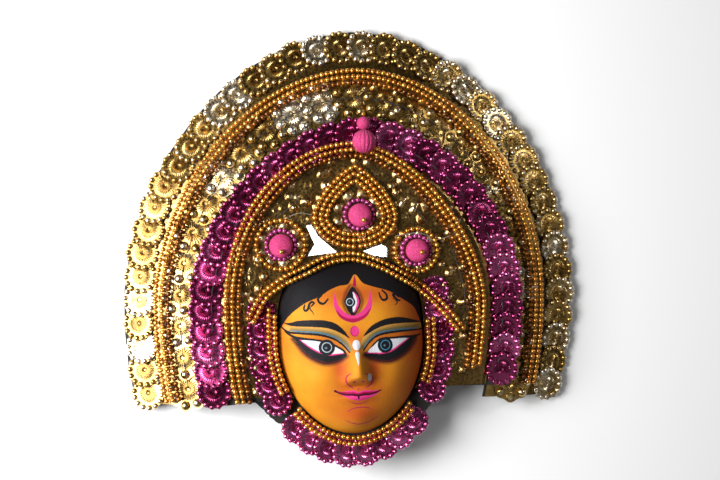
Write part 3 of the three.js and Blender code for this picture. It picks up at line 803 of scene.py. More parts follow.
def read_points(piece):
    """A piece's vertices in millimetres, with x and y from the middle of the outer crown."""
    flat = np.empty(3 * len(piece.data.vertices))
    piece.data.vertices.foreach_get("co", flat)
    return flat.reshape(-1, 3) / MM - np.array(place(0.0, 0.0, 0.0)) / MM


def round_grid(name, columns, rows, radius_at):
    """A grid pressed into an outline; returns the piece and its vertices' two coordinates from the middle."""
    bpy.ops.object.select_all(action="DESELECT")
    bpy.ops.mesh.primitive_grid_add(x_subdivisions=columns, y_subdivisions=rows, size=2.0)
    piece = new_piece(name)
    flat = np.empty(3 * len(piece.data.vertices))
    piece.data.vertices.foreach_get("co", flat)
    x, y = flat[0::3], flat[1::3]
    round_x, round_y = x * np.sqrt(1 - y * y / 2), y * np.sqrt(1 - x * x / 2)
    angle = np.arctan2(round_y, round_x)
    reach = np.minimum(1.0, np.hypot(round_x, round_y)) * radius_at(angle)
    return piece, reach * np.cos(angle), reach * np.sin(angle)


face, plan_u, plan_v = round_grid(
    "painted_face", *face_grid, lambda angle: outline_radius(angle, *face_size)
)
write_points(face, *face_to_crown(plan_u, plan_v), brim_front + face_rise(plan_u, plan_v))
front_faces = len(face.data.polygons)
front_vertices = len(face.data.vertices)


def frayed(angle):
    """How far the torn edge of the black cloth falls short of the brim's outline."""
    turn = np.degrees(angle) % 360
    threads_lost = [
        1.3 + 1.6 * noise.noise(Vector((14 * math.cos(a), 14 * math.sin(a), 3.0)))
        + 1.2 * noise.noise(Vector((45 * math.cos(a), 45 * math.sin(a), 8.0)))
        for a in angle
    ]
    return np.maximum(0.0, threads_lost) + 8.0 * bell(turn, 229, 13) + 5.0 * bell(turn, 312, 13)


def add_ring(height, outline, grow=0.0, share=1.0, hollow=False):
    """One more ring of faces on the open edge: out along an outline, or in over the hollow."""
    before = len(face.data.vertices)
    select_only(face)
    bpy.ops.object.mode_set(mode="EDIT")
    bpy.ops.mesh.select_mode(type="EDGE")
    bpy.ops.mesh.select_all(action="DESELECT")
    bpy.ops.mesh.select_non_manifold()
    bpy.ops.mesh.extrude_edges_move()
    bpy.ops.object.mode_set(mode="OBJECT")
    spots = read_points(face)
    u, v = crown_to_face(spots[before:, 0], spots[before:, 1])
    angle = np.arctan2(v, u)
    reach = outline_radius(angle, *outline, grow) * share - (frayed(angle) if outline is brim_size else 0.0)
    u, v = reach * np.cos(angle), reach * np.sin(angle)
    spots[before:, 0], spots[before:, 1] = face_to_crown(u, v)
    spots[before:, 2] = height + (hollow_rise(u, v) if hollow else 0.0)
    write_points(face, *spots.T)


add_ring(brim_front, brim_size)
add_ring(brim_front - face_wall, brim_size)
add_ring(brim_front - face_wall, face_size, -face_wall)
for share in hollow_shares[1:]:
    add_ring(brim_front - face_wall, face_size, -face_wall, share, True)
bpy.ops.object.mode_set(mode="EDIT")
bpy.ops.mesh.select_mode(type="EDGE")
bpy.ops.mesh.select_all(action="DESELECT")
bpy.ops.mesh.select_non_manifold()
bpy.ops.mesh.edge_face_add()
bpy.ops.mesh.poke()
bpy.ops.object.mode_set(mode="OBJECT")
bpy.ops.object.shade_smooth_by_angle(angle=math.radians(60.0))


def smooth_line(points, closed=False, steps=6):
    """A smooth curve through the points."""
    points = np.array(points, dtype=float)
    if closed:
        points = np.vstack((points[-1], points, points[:2]))
    else:
        points = np.vstack((2 * points[0] - points[1], points, 2 * points[-1] - points[-2]))
    share = np.linspace(0.0, 1.0, steps, endpoint=False)[:, None]
    line = []
    for a, b, c, d in zip(points, points[1:], points[2:], points[3:]):
        bend = 2 * a - 5 * b + 4 * c - d + share * (3 * (b - c) + d - a)
        line.append(b + 0.5 * share * (c - a + share * bend))
    line.append(points[-2][None, :])
    return np.vstack(line)


def distance_to(line, u, v):
    """How far each spot is from a line, and how far along the line its nearest point is, from 0 to 1."""
    nearest = np.full(len(u), 1e3)
    along = np.zeros(len(u))
    for i, ((ax, ay), (bx, by)) in enumerate(zip(line, line[1:])):
        dx, dy = bx - ax, by - ay
        share = np.clip(((u - ax) * dx + (v - ay) * dy) / max(dx * dx + dy * dy, 1e-9), 0.0, 1.0)
        gap = np.hypot(u - ax - share * dx, v - ay - share * dy)
        closer = gap < nearest
        nearest[closer] = gap[closer]
        along[closer] = (i + share[closer]) / (len(line) - 1)
    return nearest, along


def inside_of(line, u, v):
    """Whether each spot is inside a closed line."""
    inside = np.zeros(len(u), dtype=bool)
    for (ax, ay), (bx, by) in zip(line, line[1:]):
        if ay != by:
            inside ^= ((ay > v) != (by > v)) & (u < ax + (v - ay) / (by - ay) * (bx - ax))
    return inside


# Each painted shape is a colour, how it is drawn, a width or half sizes, and its points on the face.
painted = [
    ("hair", "fill", 0, [
        (4.4, 71.4), (-3.5, 62.4), (-12.8, 60.9), (-22.2, 57.5), (-33.7, 51.1), (-48.8, 44.8),
        (-63.8, 33.2), (-72.7, 19.9), (-85.2, 3.7), (-88.9, 49.9), (-47.7, 93.7), (8.7, 106.1),
        (55.8, 93.3), (94.9, 39.4), (82, -6.4), (69.5, 23.1), (62.8, 36), (49.7, 45.2), (37.5, 53.1),
        (22.9, 58), (11.7, 62.6),
    ]),
    ("crimson", "fill", 0, [(1.1, 60.7), (4.3, 70.9), (4.6, 60.5)]),
    ("black", "line", 1.6, [(-30.6, 53), (-34.9, 49.2), (-33.2, 45.2), (-29.3, 44.5), (-25, 48.7)]),
    ("black", "line", 1.5, [
        (-48.3, 43.8), (-49.2, 39.9), (-48, 37.9), (-45.3, 39.7), (-43.5, 44.6), (-41, 46.5),
        (-39.1, 44.9), (-41.7, 42.6),
    ]),
    ("black", "line", 0.7, [(-41.7, 42.6), (-43.4, 39.7), (-41.1, 36.6), (-40.3, 34.1)]),
    ("black", "line", 1.6, [
        (30.3, 54.5), (34.1, 50.3), (34.7, 46.3), (31.4, 44.5), (28.5, 46.7), (26.9, 51.8),
    ]),
    ("black", "line", 1.5, [(48.4, 43.3), (46.2, 43.5), (41.4, 48.8), (43.6, 49.7), (47.6, 46.4)]),
    ("black", "line", 0.7, [(41, 45.9), (44.5, 42.6), (44.9, 40.6), (42.5, 38.8)]),
    ("black", "fill", 0, [
        (0.6, 59.5), (-4.4, 54.5), (-7.6, 47.8), (-8.3, 42.9), (-6, 35.8), (-1.2, 30.1), (3.6, 35.2),
        (7.2, 42), (7.6, 46.9), (5.1, 54),
    ]),
    ("pink", "fill", 0, [
        (0.7, 55.2), (4.9, 50), (6, 44), (3.9, 38.2), (-0.2, 33), (1.7, 38.3), (2.9, 44.2), (2.5, 50.2),
    ]),
    ("white", "fill", 0, [
        (0.3, 54.8), (2.9, 50.2), (3.8, 44.2), (2.1, 38.8), (-0.7, 34), (-1.1, 39.5), (0.7, 44.3),
        (0.6, 49.3),
    ]),
    ("over", "disc", (5.6, 5.6), [(-3.5, 44.6)]),
    ("ring", "disc", (3.9, 3.9), [(-3.5, 44.6)]),
    ("pupil", "disc", (3.1, 3.1), [(-3.5, 44.6)]),
    ("glint", "disc", (0.9, 0.9), [(-3.9, 44.8)]),
    ("lash", "line", 0.5, [
        (-1.5, 61), (-6, 55), (-9, 47.8), (-9.7, 42.9), (-7.3, 35.2), (-1.6, 28.8), (4.6, 34.4), (8.4, 41.6),
        (8.9, 47.2), (6.2, 54.6), (1.6, 60.4),
    ]),
    ("pink", "fill", 0, [
        (-17.4, 55), (-19.6, 44.5), (-17.8, 35.5), (-12, 28.1), (-1.8, 24.2), (8.9, 27.1),
        (16, 33.7), (19, 42.4), (17.6, 55.5), (15.3, 45), (9.8, 36.6), (3.6, 32.3), (-1.8, 31),
        (-8.6, 33.9), (-14.6, 40.8), (-16.7, 48),
    ]),
    ("crimson", "fill", 0, [
        (-18, 38.3), (-16, 31.7), (-10.4, 26.8), (-1.8, 24), (6.9, 26), (13.6, 30.6), (17.2, 37.6),
        (11, 31.7), (4.5, 28.8), (-1.5, 28), (-8.3, 29.3), (-14, 33.4),
    ]),
    ("rose", "disc", (4.5, 5.5), [(-0.7, 15.3)]),
    ("pink", "disc", (3.8, 4.7), [(-0.4, 15.6)]),
    ("white", "disc", (3.9, 5.1), [(0.2, 1.6)]),
    ("white", "fill", 0, [
        (0.3, -4.6), (-1.9, -6.0), (-2.0, -8.6), (-1.3, -12.2), (-0.1, -18.4), (1.5, -12.4), (2.3, -8.4),
        (2.1, -6.0),
    ]),
    ("ochre", "fill", 0, [
        (-67.1, 23.7), (-58.8, 22.7), (-44.1, 21.8), (-29.1, 20.2), (-19.4, 16.7), (-11.8, 12.3),
        (-6, 3.9), (-4.6, -3), (-9.5, -4.8), (-13, 1.3), (-20.6, 7.2), (-29.4, 11.2), (-39.5, 13.6),
        (-54.5, 15.1), (-63.8, 16.1), (-70.1, 20),
    ]),
    ("black", "fill", 0, [
        (-69.7, 26.9), (-64.6, 26.2), (-53.7, 28.5), (-38.7, 28.5), (-28.5, 27.5), (-18.9, 23.9),
        (-11.7, 17.3), (-5.9, 8.5), (-11.8, 12.3), (-19.4, 16.7), (-29.1, 20.2), (-44.1, 21.8),
        (-58.8, 22.7), (-65.3, 24),
    ]),
    ("black", "line", 1.5, [
        (-72.1, 22.9), (-68.3, 18.9), (-63.8, 16.6), (-54.4, 15.7), (-39.5, 14.2), (-29.4, 11.8),
        (-19.6, 7.6), (-12.3, 1.6), (-7.1, -5.3),
    ]),
    ("blue", "line", 0.8, [
        (-64.6, 18.6), (-54.4, 17.5), (-39.5, 16.1), (-28.4, 13.6), (-18.6, 9.2), (-10.9, 3), (-6.2, -3.9),
    ]),
    ("black", "fill", 0, [
        (-69.3, 18.1), (-65.8, 14.1), (-60.4, 10.3), (-56, 4), (-49.6, -3.5), (-42.2, -9.3),
        (-32.7, -13.5), (-23.3, -13.5), (-15.8, -11.5), (-10.1, -8.6), (-11.3, -3.3), (-18.9, 2.1),
        (-29.5, 7.1), (-40.2, 9.6), (-50.8, 11.4), (-60.2, 13.5),
    ]),
    ("pink", "fill", 0, [
        (-55.5, 9.8), (-49.9, 4.1), (-44.1, -0.5), (-35.7, -5.3), (-27.4, -7.7), (-19.4, -7.3),
        (-11.3, -6), (-20.3, -4.4), (-33.9, -1.7), (-45.3, 4.8),
    ]),
    ("white", "fill", 0, [
        (-53.2, 8.7), (-44.7, 8.2), (-34.8, 6.4), (-21.9, 1.3), (-12.7, -5.1), (-20.4, -6.1),
        (-27.3, -6.4), (-35.3, -4), (-44, 1.1), (-49.6, 5.3),
    ]),
    ("over", "disc", (8.1, 8.1), [(-29.1, 0.5)]),
    ("ring", "disc", (5.1, 5.1), [(-29.1, 0.6)]),
    ("pupil", "disc", (4.4, 4.4), [(-29.1, 0.6)]),
    ("glint", "disc", (1.1, 0.9), [(-29.9, 0.0)]),
    ("lash", "line", 2.6, [
        (-61.5, 10), (-56.5, 3.4), (-50.2, -4.4), (-42.6, -10.2), (-32.9, -14.4), (-23.2, -14.4),
        (-15.4, -12), (-10.5, -8.8),
    ]),
    ("teal", "line", 1.5, [
        (-62, 19.6), (-54.4, 18.9), (-39.5, 17.4), (-27.9, 14.9), (-17.8, 10.3), (-9.8, 4.2), (-5.6, -2.6),
    ]),
    ("ochre", "fill", 0, [
        (8.5, 9.5), (15.2, 14.2), (20.4, 16.4), (31.4, 19.6), (42.1, 20.4), (53.3, 20.4), (65.2, 20),
        (72, 17.5), (70.1, 13.2), (58.6, 13.2), (47.3, 13.3), (33.7, 12.8), (22.8, 10.7), (15, 5.6),
        (8.4, -1.6), (4.6, -5.4), (4.5, 3.3),
    ]),
    ("black", "fill", 0, [
        (8.1, 9.7), (15.4, 19), (26.3, 24.3), (37.3, 26.5), (48.1, 26.3), (59.3, 23.6), (72.2, 19.3),
        (65.1, 19.2), (53.2, 20), (42.1, 20.2), (31.4, 19.4), (20.4, 16.2),
    ]),
    ("black", "line", 1.5, [
        (7.1, -4), (14.9, 4.6), (22.8, 9.7), (33.7, 11.7), (47.2, 12.3), (58.5, 12.2), (73.4, 11.8),
    ]),
    ("blue", "line", 0.8, [
        (6.5, -2.2), (14.1, 6), (22.2, 11.5), (33.3, 13.6), (47.3, 14), (58.6, 13.8), (70.1, 13.8),
    ]),
    ("black", "fill", 0, [
        (7.2, -7.9), (13.9, -11.3), (24.2, -14.7), (34.9, -15.3), (45.9, -11.4), (55.2, -5.3), (62.8, 3.2),
        (71.9, 7.3), (61.8, 7.1), (50.3, 7.5), (38.5, 7.3), (25.9, 7.2), (18.4, 2.3), (12.5, -3.9),
    ]),
    ("pink", "fill", 0, [
        (8.5, -7), (18.1, -8.2), (26.3, -9.1), (36.9, -7.2), (47.1, -1.2), (56.5, 4.7), (47.9, 3.1),
        (36.8, -3), (24.1, -5.1), (13.8, -6.4),
    ]),
    ("white", "fill", 0, [
        (11.3, -6), (17.9, -0.3), (25.5, 4.8), (39.4, 5.2), (53.7, 4.6), (46.6, 0.2), (36.2, -5.6),
        (25.7, -7.6), (18.5, -7.1),
    ]),
    ("over", "disc", (7.9, 7.9), [(29.9, -0.5)]),
    ("iris", "disc", (5.1, 5.1), [(30, -0.4)]),
    ("pupil", "disc", (4.4, 4.4), [(30, -0.4)]),
    ("glint", "disc", (1.0, 0.9), [(29.2, -0.8)]),
    ("lash", "line", 2.6, [
        (7.6, -8.8), (13.6, -12.2), (24.2, -15.7), (35.2, -16.3), (46.5, -12.3), (56, -6), (63.6, 2.6),
    ]),
    ("teal", "line", 1.9, [
        (5.9, -1), (13.3, 7.2), (21.8, 12.9), (33.1, 15), (47.3, 15.6), (58.6, 15.5), (68, 15.6),
    ]),
    ("crimson", "line", 0.9, [
        (-7.8, -25.8), (-11.1, -28.3), (-12.5, -31.9), (-10.7, -36.4), (-7.4, -39.8), (-4.6, -41.5),
    ]),
    ("crimson", "line", 0.9, [
        (6, -26.1), (11.8, -29.4), (15.3, -33.6), (13.9, -37.7), (10.8, -40.4), (7.4, -41.6),
    ]),
    ("crimson", "disc", (1.7, 1.1), [(-4.1, -34.8)]),
    ("crimson", "disc", (1.7, 1.1), [(4.6, -34.8)]),
    ("stud", "disc", (2.5, 3.9), [(11.4, -31.0)]),
    ("crimson", "disc", (0.81, 0.91), [(0.5, -42.6)]),
    ("pink", "fill", 0, [
        (-21.6, -45.1), (-15.1, -44.7), (-8.1, -43.9), (-3.5, -43.9), (0.3, -45.6), (4.9, -44.3),
        (10.1, -44.5), (16.3, -45.4), (23.2, -46), (18.3, -49.9), (11.9, -52.6), (5.7, -54.4),
        (0.1, -54.5), (-6.4, -53.1), (-12.3, -50.5), (-17.1, -47.7),
    ]),
    ("crimson", "fill", 0, [
        (-22.9, -43.2), (-18, -44.4), (-10, -45.4), (-4.5, -45.4), (0, -47), (5, -45.9), (11, -46.2),
        (18, -46.2), (23.6, -45.0), (18.3, -48.2), (11.9, -49.2), (0, -49.6), (-11.3, -48.6), (-18.1, -47.2),
    ]),
    ("wine", "line", 1.3, [
        (-22.9, -44.2), (-18.1, -46.2), (-11.3, -47.9), (-5.4, -48.1), (-0.5, -49.3), (5.7, -48.7),
        (11.9, -48.8), (18.3, -47.6), (23.6, -45.6),
    ]),
    ("wine", "disc", (1.4, 1.3), [(-22.7, -43.8)]),
    ("wine", "line", 1.2, [(0.2, -49.2), (0.3, -51.0), (0.4, -52.8)]),
    ("crimson", "line", 0.7, [(-8.8, -54.9), (-4.3, -57.1), (0.3, -58.1), (5.8, -57.4), (10.6, -55.7)]),
    ("crimson", "line", 0.7, [(-10.7, -65.5), (-5.3, -62.8), (2.8, -61.8), (10, -62.8), (14.1, -64.9)]),
    ("crimson", "line", 0.7, [(-13.5, -74.5), (-6.3, -78.1), (1.6, -79.7), (11.3, -77.8), (20.3, -73.3)]),
]

paint_reach = 3.0
coats = {}
for colour, kind, size, points in painted:
    spots = np.array(points, dtype=float)
    reach = paint_reach + (max(size) if kind == "disc" else size)
    near = np.nonzero(
        (plan_u > spots[:, 0].min() - reach)
        & (plan_u < spots[:, 0].max() + reach)
        & (plan_v > spots[:, 1].min() - reach)
        & (plan_v < spots[:, 1].max() + reach)
    )[0]
    u, v = plan_u[near], plan_v[near]
    if kind == "disc":
        depth = (1 - np.hypot((u - spots[0, 0]) / size[0], (v - spots[0, 1]) / size[1])) * min(size)
    elif kind == "line":
        gap, along = distance_to(smooth_line(spots), u, v)
        depth = size * (0.5 + 0.3 * np.sin(math.pi * along)) - gap
    else:
        line = smooth_line(spots, closed=True)
        gap, along = distance_to(line, u, v)
        depth = np.where(inside_of(line, u, v), gap, -gap)
    coat = coats.setdefault(colour, np.full(len(face.data.vertices), -paint_reach))
    coat[near] = np.maximum(coat[near], depth)

# Warm orange rubbed into the yellow round the eyes, the nose, the mouth and the chin, on the brow and at the
# left edge. Across the right side of the face the same orange is painted shade, where the face turns from the
# light.
blush_and_painted_shade = np.zeros(len(face.data.vertices))
blush_and_painted_shade[:front_vertices] = np.clip(
    0.7 * bell(np.abs(plan_u), 30, 26) * bell(plan_v, 3, 17)
    + 0.9 * bell(np.abs(plan_u), 17, 9) * bell(plan_v, -22, 15)
    + 0.9 * bell(plan_u, 2, 34) * bell(plan_v, -47, 15)
    + 0.9 * bell(plan_u, 2, 30) * bell(plan_v, -70, 11)
    + 0.9 * bell(plan_u, 4, 60) * bell(plan_v, 52, 13)
    + 0.5 * bell(plan_u, 0, 9) * bell(plan_v, 8, 14)
    # Painted shade over the right side of the face.
    + 0.9 * soft_step(plan_u, 24, 70)
    + 0.5 * soft_step(-plan_u, 58, 74),
    0.0,
    1.0,
)
coats["blush_and_painted_shade"] = blush_and_painted_shade
for name, depth in coats.items():
    set_values(face, name, depth)

face_paint, nodes, links, shader = new_finish("face_paint", (0.62, 0.22, 0.02), 0.6)
clouds = add_unevenness(nodes, 45.0, 650.0)


def mixed(nodes, links, factor, under, over):
    """One colour laid over another where the factor is 1; each is a colour or a socket."""
    mix = nodes.new("ShaderNodeMix")
    mix.data_type = "RGBA"
    links.new(factor, mix.inputs["Factor"])
    for socket, color in ((mix.inputs["A"], under), (mix.inputs["B"], over)):
        if isinstance(color, tuple):
            socket.default_value = (*color, 1.0)
        else:
            links.new(color, socket)
    return mix.outputs["Result"]


wobble = nodes.new("ShaderNodeMath")
wobble.operation = "MULTIPLY_ADD"
wobble.inputs[1].default_value = 0.3
wobble.inputs[2].default_value = -0.15
links.new(clouds.outputs["Grain"], wobble.inputs[0])
ground = add_ramp(
    nodes,
    links,
    clouds.outputs["Patches"],
    ((0.0, (0.58, 0.215, 0.010)), (0.5, (0.63, 0.250, 0.012)), (1.0, (0.66, 0.270, 0.014))),
)
# Blush, and painted shade on the right, deepen the yellow ground towards orange.
skin = mixed(nodes, links, read_values(nodes, "blush_and_painted_shade"), ground, (0.44, 0.075, 0.009))
hard, soft, feathered = (-0.15, 0.2), (-2.2, 1.6), (-2.6, 1.2)
for name, color, fade in (
    ("ochre", (0.50, 0.25, 0.05), (-0.6, 0.6)),
    ("teal", (0.10, 0.10, 0.04), soft),
    ("lash", (0.05, 0.008, 0.008), feathered),
    ("hair", (0.006, 0.0055, 0.007), hard),
    ("black", (0.007, 0.007, 0.009), hard),
    ("blue", (0.02, 0.14, 0.25), hard),
    ("rose", (0.40, 0.008, 0.08), hard),
    ("pink", (0.62, 0.035, 0.19), hard),
    ("white", (0.62, 0.62, 0.66), hard),
    ("crimson", (0.34, 0.006, 0.06), hard),
    ("wine", (0.05, 0.004, 0.014), hard),
    ("over", (0.010, 0.010, 0.014), hard),
    ("ring", (0.40, 0.50, 0.55), hard),
    ("iris", (0.05, 0.27, 0.40), hard),
    ("pupil", (0.008, 0.008, 0.012), hard),
    ("glint", (0.13, 0.20, 0.26), (-0.4, 0.4)),
    ("stud", (0.42, 0.43, 0.45), hard),
):
    add = nodes.new("ShaderNodeMath")
    add.operation = "ADD"
    links.new(read_values(nodes, name), add.inputs[0])
    links.new(wobble.outputs["Value"], add.inputs[1])
    edge = nodes.new("ShaderNodeMapRange")
    edge.inputs["From Min"].default_value, edge.inputs["From Max"].default_value = fade
    links.new(add.outputs["Value"], edge.inputs["Value"])
    skin = mixed(nodes, links, edge.outputs["Result"], skin, color)
links.new(skin, shader.inputs["Base Color"])
links.new(add_range(nodes, links, clouds.outputs["Grain"], 0.55, 0.75), shader.inputs["Roughness"])
add_bump(nodes, links, shader, clouds.outputs["Grain"], 0.12)
shader.inputs["Specular IOR Level"].default_value = 0.15
face.data.materials.append(face_paint)
face.data.materials.append(black_card)
backing = [0 if i < front_faces else 1 for i in range(len(face.data.polygons))]
face.data.polygons.foreach_set("material_index", backing)
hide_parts("face_shell")
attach(face, "root")

# Inner crown board: card cut as an arch round the face, with two gaps that the floor shows through. It stays
# as the solid has it.
on_inner_board = 13.2
on_foil_sheet = 15.5
dress("inner_crown_board", black_card)

# Foil of the inner crown: gold film pressed with large rosettes, then crumpled onto the card and glued down
# between the face and the purple rosettes. It has the same two gaps.
purple_middle, purple_half_width, purple_top, purple_power = 5.0, 156.0, 171.0, 1.8
purple_left_foot, purple_right_foot = -98.0, -78.0
stamps = (
    (-112.0, -80.0), (-117.0, -46.0), (-115.0, -10.0), (-109.0, 25.0), (-98.0, 60.0), (-78.0, 94.0),
    (-46.0, 118.0), (-10.0, 132.0), (27.0, 130.0), (62.0, 111.0), (88.0, 83.0), (104.0, 50.0),
    (112.0, 16.0), (116.0, -18.0), (114.0, -54.0), (-50.0, 84.0), (52.0, 86.0),
)
stamp_radius = 22.0
foil_gap, foil_inset, foil_right_foot = 1.2, 15.0, -86.0
foil_thickness, foil_crumple, foil_sink, foil_dip = 0.6, 0.42, 0.5, 1.5
foil_columns, foil_rows = 430, 60
gap_outlines = (
    ((-49.0, 77.0), (-43.0, 78.0), (-36.0, 66.0), (-17.0, 50.0), (-47.0, 46.0), (-40.0, 58.0)),
    ((10.0, 51.0), (29.0, 58.0), (35.0, 55.0), (35.0, 44.0), (22.0, 46.0)),
)


def purple_arch(offset, right_foot=purple_right_foot):
    """The line of the purple rosettes' middles, moved outwards by an offset."""
    half_width, top = purple_half_width + offset, purple_top + offset
    powers, feet = (purple_power, purple_power), (purple_left_foot, right_foot)
    return arch_line(purple_middle, half_width, top, *powers, *feet, crown_skew)


def face_line(offset, start, end, count=61):
    """Places round the face at a distance from its edge, between two angles in degrees."""
    angles = np.radians(np.linspace(start, end, count))
    reach = outline_radius(angles, *face_size, offset)
    return list(zip(*face_to_crown(reach * np.cos(angles), reach * np.sin(angles))))


def stamp_relief(dx, dy, radius, domes=8):
    """Height and painted highlight of a rosette pressed round its middle: a pit, thin rays and a circle of
    domes.
    """
    reach, angle = np.hypot(dx, dy) / radius, np.arctan2(dy, dx)
    rays = 0.5 * np.maximum(0.0, np.cos(20 * angle)) * soft_step(reach, 0.1, 0.16)
    rays = rays * (1 - soft_step(reach, 0.42, 0.5))
    pit = 0.5 * bell(reach, 0.16, 0.06) - 0.7 * bell(reach, 0.0, 0.06)
    turn = (angle * domes / (2 * math.pi) + 0.5) % 1.0 - 0.5
    aside = turn * 2 * math.pi / domes * reach
    dome = np.sqrt(np.clip(1 - (aside**2 + (reach - 0.8) ** 2) / 0.19**2, 0.0, 1.0))
    return rays + pit + 2.6 * dome, np.maximum(dome, 1.4 * rays)


foil, x, y = sheet_between(
    "inner_crown_foil",
    face_line(foil_gap, 220, -38),
    purple_arch(-foil_inset, foil_right_foot),
    foil_columns,
    foil_rows,
)
under_rosettes = soft_step(np.array([vertex.co.y for vertex in foil.data.vertices]), 0.88, 0.95)
relief = np.minimum(crumple(x, y, foil_crumple) - 0.35, 0.2)
# Painted highlight on the stamped domes and rays of the foil.
painted_light_values = np.zeros(len(x))
for stamp_x, stamp_y in stamps:
    height, dome = stamp_relief(x - stamp_x, y - stamp_y, stamp_radius)
    relief += height
    painted_light_values = np.maximum(painted_light_values, dome)
bed = np.array([crown_height(px, py) for px, py in zip(x, y)])
relief = relief * (1 - under_rosettes) - foil_dip * under_rosettes
write_points(foil, x, y, bed + on_foil_sheet - foil_sink + relief)
set_values(foil, "painted_highlight_and_shade", painted_light_values)
thicken(foil, foil_thickness)
for corners in gap_outlines:
    bpy.ops.object.select_all(action="DESELECT")
    bpy.ops.mesh.primitive_circle_add(vertices=len(corners), fill_type="NGON")
    cutter = bpy.context.object
    write_points(cutter, *np.array(corners).T, 30.0)
    bpy.ops.object.mode_set(mode="EDIT")
    bpy.ops.mesh.select_all(action="SELECT")
    bpy.ops.mesh.extrude_region_move(TRANSFORM_OT_translate={"value": (0.0, 0.0, 30.0 * MM)})
    bpy.ops.mesh.select_all(action="SELECT")
    bpy.ops.mesh.normals_make_consistent(inside=False)
    bpy.ops.object.mode_set(mode="OBJECT")
    select_only(foil)
    cut = foil.modifiers.new("cut", "BOOLEAN")
    cut.object = cutter
    bpy.ops.object.modifier_apply(modifier="cut")
    bpy.data.objects.remove(cutter)
bpy.ops.object.shade_smooth_by_angle(angle=smooth_angle)
set_tone(foil, 0.3)
inner_film = foil_finish("inner_film", (0.16, 0.08, 0.012), (0.36, 0.21, 0.05), (0.92, 0.74, 0.42), 0.3, 0.04)
finish_piece(foil, inner_film, "inner_foil_sheet")

# Arch of purple rosettes: the small die again, in purple film, sewn along the edge of the inner board, each
# one's near edge on the far edge of the one before.
purple_film = foil_finish(
    "purple_film", (0.13, 0.003, 0.035), (0.36, 0.016, 0.13), (0.80, 0.18, 0.44), 0.26, 0.05
)
purple_count = 33


def on_inner(x, y):
    """Level that the purple rosettes are sewn down to."""
    return crown_height(x, y) + on_inner_board + 0.5


purple_places = spread(purple_arch(0.0), purple_count, 0.01, 0.99)
purple_row = lay_row(
    "arch_of_purple_rosettes", small_die, purple_places, on_inner, 37, lift=2.5, lean=0.1, unrest=0.12
)
finish_piece(purple_row, purple_film, "purple_rosette_arch")

# Stitches down the inner side of the purple rosettes: a seam in black cotton, of which every other stitch
# shows.
purple_seam = spread(purple_arch(-6.0), 70, 0.02, 0.98)
threads("purple_stitches", stitches(purple_seam, on_inner, 4.0, 6.2, thread_chance)[::2], 0.4, black_thread)

# Inner bundle of beads: three strings like the outer ones, on the foil beside the face and climbing onto the
# purple rosettes over it.
inner_low, inner_high = 18.5, 21.3
inner_middle, inner_half_width, inner_top = 2.5, 129.5, 158.0
inner_powers, inner_feet = (2.0, 1.62), (-104.0, -74.0)


def inner_string(x, y):
    """Level of the cords of the inner bundle."""
    return crown_height(x, y) + inner_low + (inner_high - inner_low) * float(soft_step(y, -10.0, 45.0))


for number, share, finish in bundle:
    offset = share * string_pitch
    line = arch_line(
        inner_middle, inner_half_width + offset, inner_top + offset, *inner_powers, *inner_feet
    )
    points = lifted(spread(line, 130, 0.004, 0.992), inner_string)
    string_of_beads("inner_string_" + number, "inner_bead_string_" + number, points, finish)

# Pear-shaped loop over the forehead: a plate of crumpled foil on card, edged with three strings of beads. In
# it a ball of pink fluff is held by a gold pin in a ring of purple beads.
pear_x, pear_y = 1.0, 86.0
pear_half_width, pear_rise, pear_drop = 41.5, 52.0, 30.2
pear_string_pitch = 6.2
pear_plate_rise, pear_plate_inset = 6.0, 0.5
pear_stamp_radius = 27.0
pear_knob, pear_knob_lean = (5.0, 88.6), (3.3, -6.0)
plate_front, plate_thickness, plate_crumple = 47.8, 0.8, 0.6
knob_radius, knob_height = 12.0, 13.0
pin_radius, pin_rise = 2.5, 2.9
purple_bead_radius, purple_bead_count = 2.38, 19
purple_ring_radius = 14.6


def pear_line(inset, steps=96):
    """The pear's outline from the bottom round its left side."""
    line = []
    for i in range(steps + 1):
        turn = 2 * math.pi * i / steps
        across = -math.sin(turn)
        if math.cos(turn) > 0:
            rise = -(pear_drop - inset) * math.cos(turn)
        else:
            rise = (pear_rise - 1.2 * inset) * max(0.0, 1 - abs(across) ** 1.15) ** 0.62
        line.append((pear_x + (pear_half_width - inset) * across, pear_y + rise))
    return line


def relief_plate(name, node, x, y, outline, columns, stamp_at, size):
    """A foil-covered plate with its outline round (x, y), crumpled and pressed with one rosette."""
    spots = np.array(outline) - (x, y)
    turns = np.arctan2(spots[:, 1], spots[:, 0])
    order = np.argsort(turns)
    radii = np.hypot(*spots.T)[order]
    plate, dx, dy = round_grid(
        name, columns, columns, lambda angle: np.interp(angle, turns[order], radii, period=2 * math.pi)
    )
    lift = np.minimum(crumple(x + dx, y + dy, plate_crumple) - 0.45, 0.1)
    # Painted highlight on the plate's stamped domes and rays.
    relief, painted_light_values = stamp_relief(x + dx - stamp_at[0], y + dy - stamp_at[1], size, 9)
    write_points(plate, x + dx, y + dy, plate_front - foil_sink + lift + relief)
    set_values(plate, "painted_highlight_and_shade", painted_light_values)
    thicken(plate, plate_thickness)
    bpy.ops.object.shade_smooth_by_angle(angle=smooth_angle)
    set_tone(plate, 0.4)
    finish_piece(plate, inner_film, node)


relief_plate(
    "pear_foil",
    "pear_plate",
    pear_x,
    pear_y + pear_plate_rise,
    pear_line(pear_plate_inset),
    70,
    pear_knob,
    pear_stamp_radius,
)
for number in (1, 2, 3):
    line = pear_line((number - 1) * pear_string_pitch)
    points = [(x, y, plate_front + cord_height) for x, y, _ in spread(line, 80, 0.006, 0.994)]
    string_of_beads(f"pear_string_{number}", f"pear_bead_string_{number}", points, bead_gold)


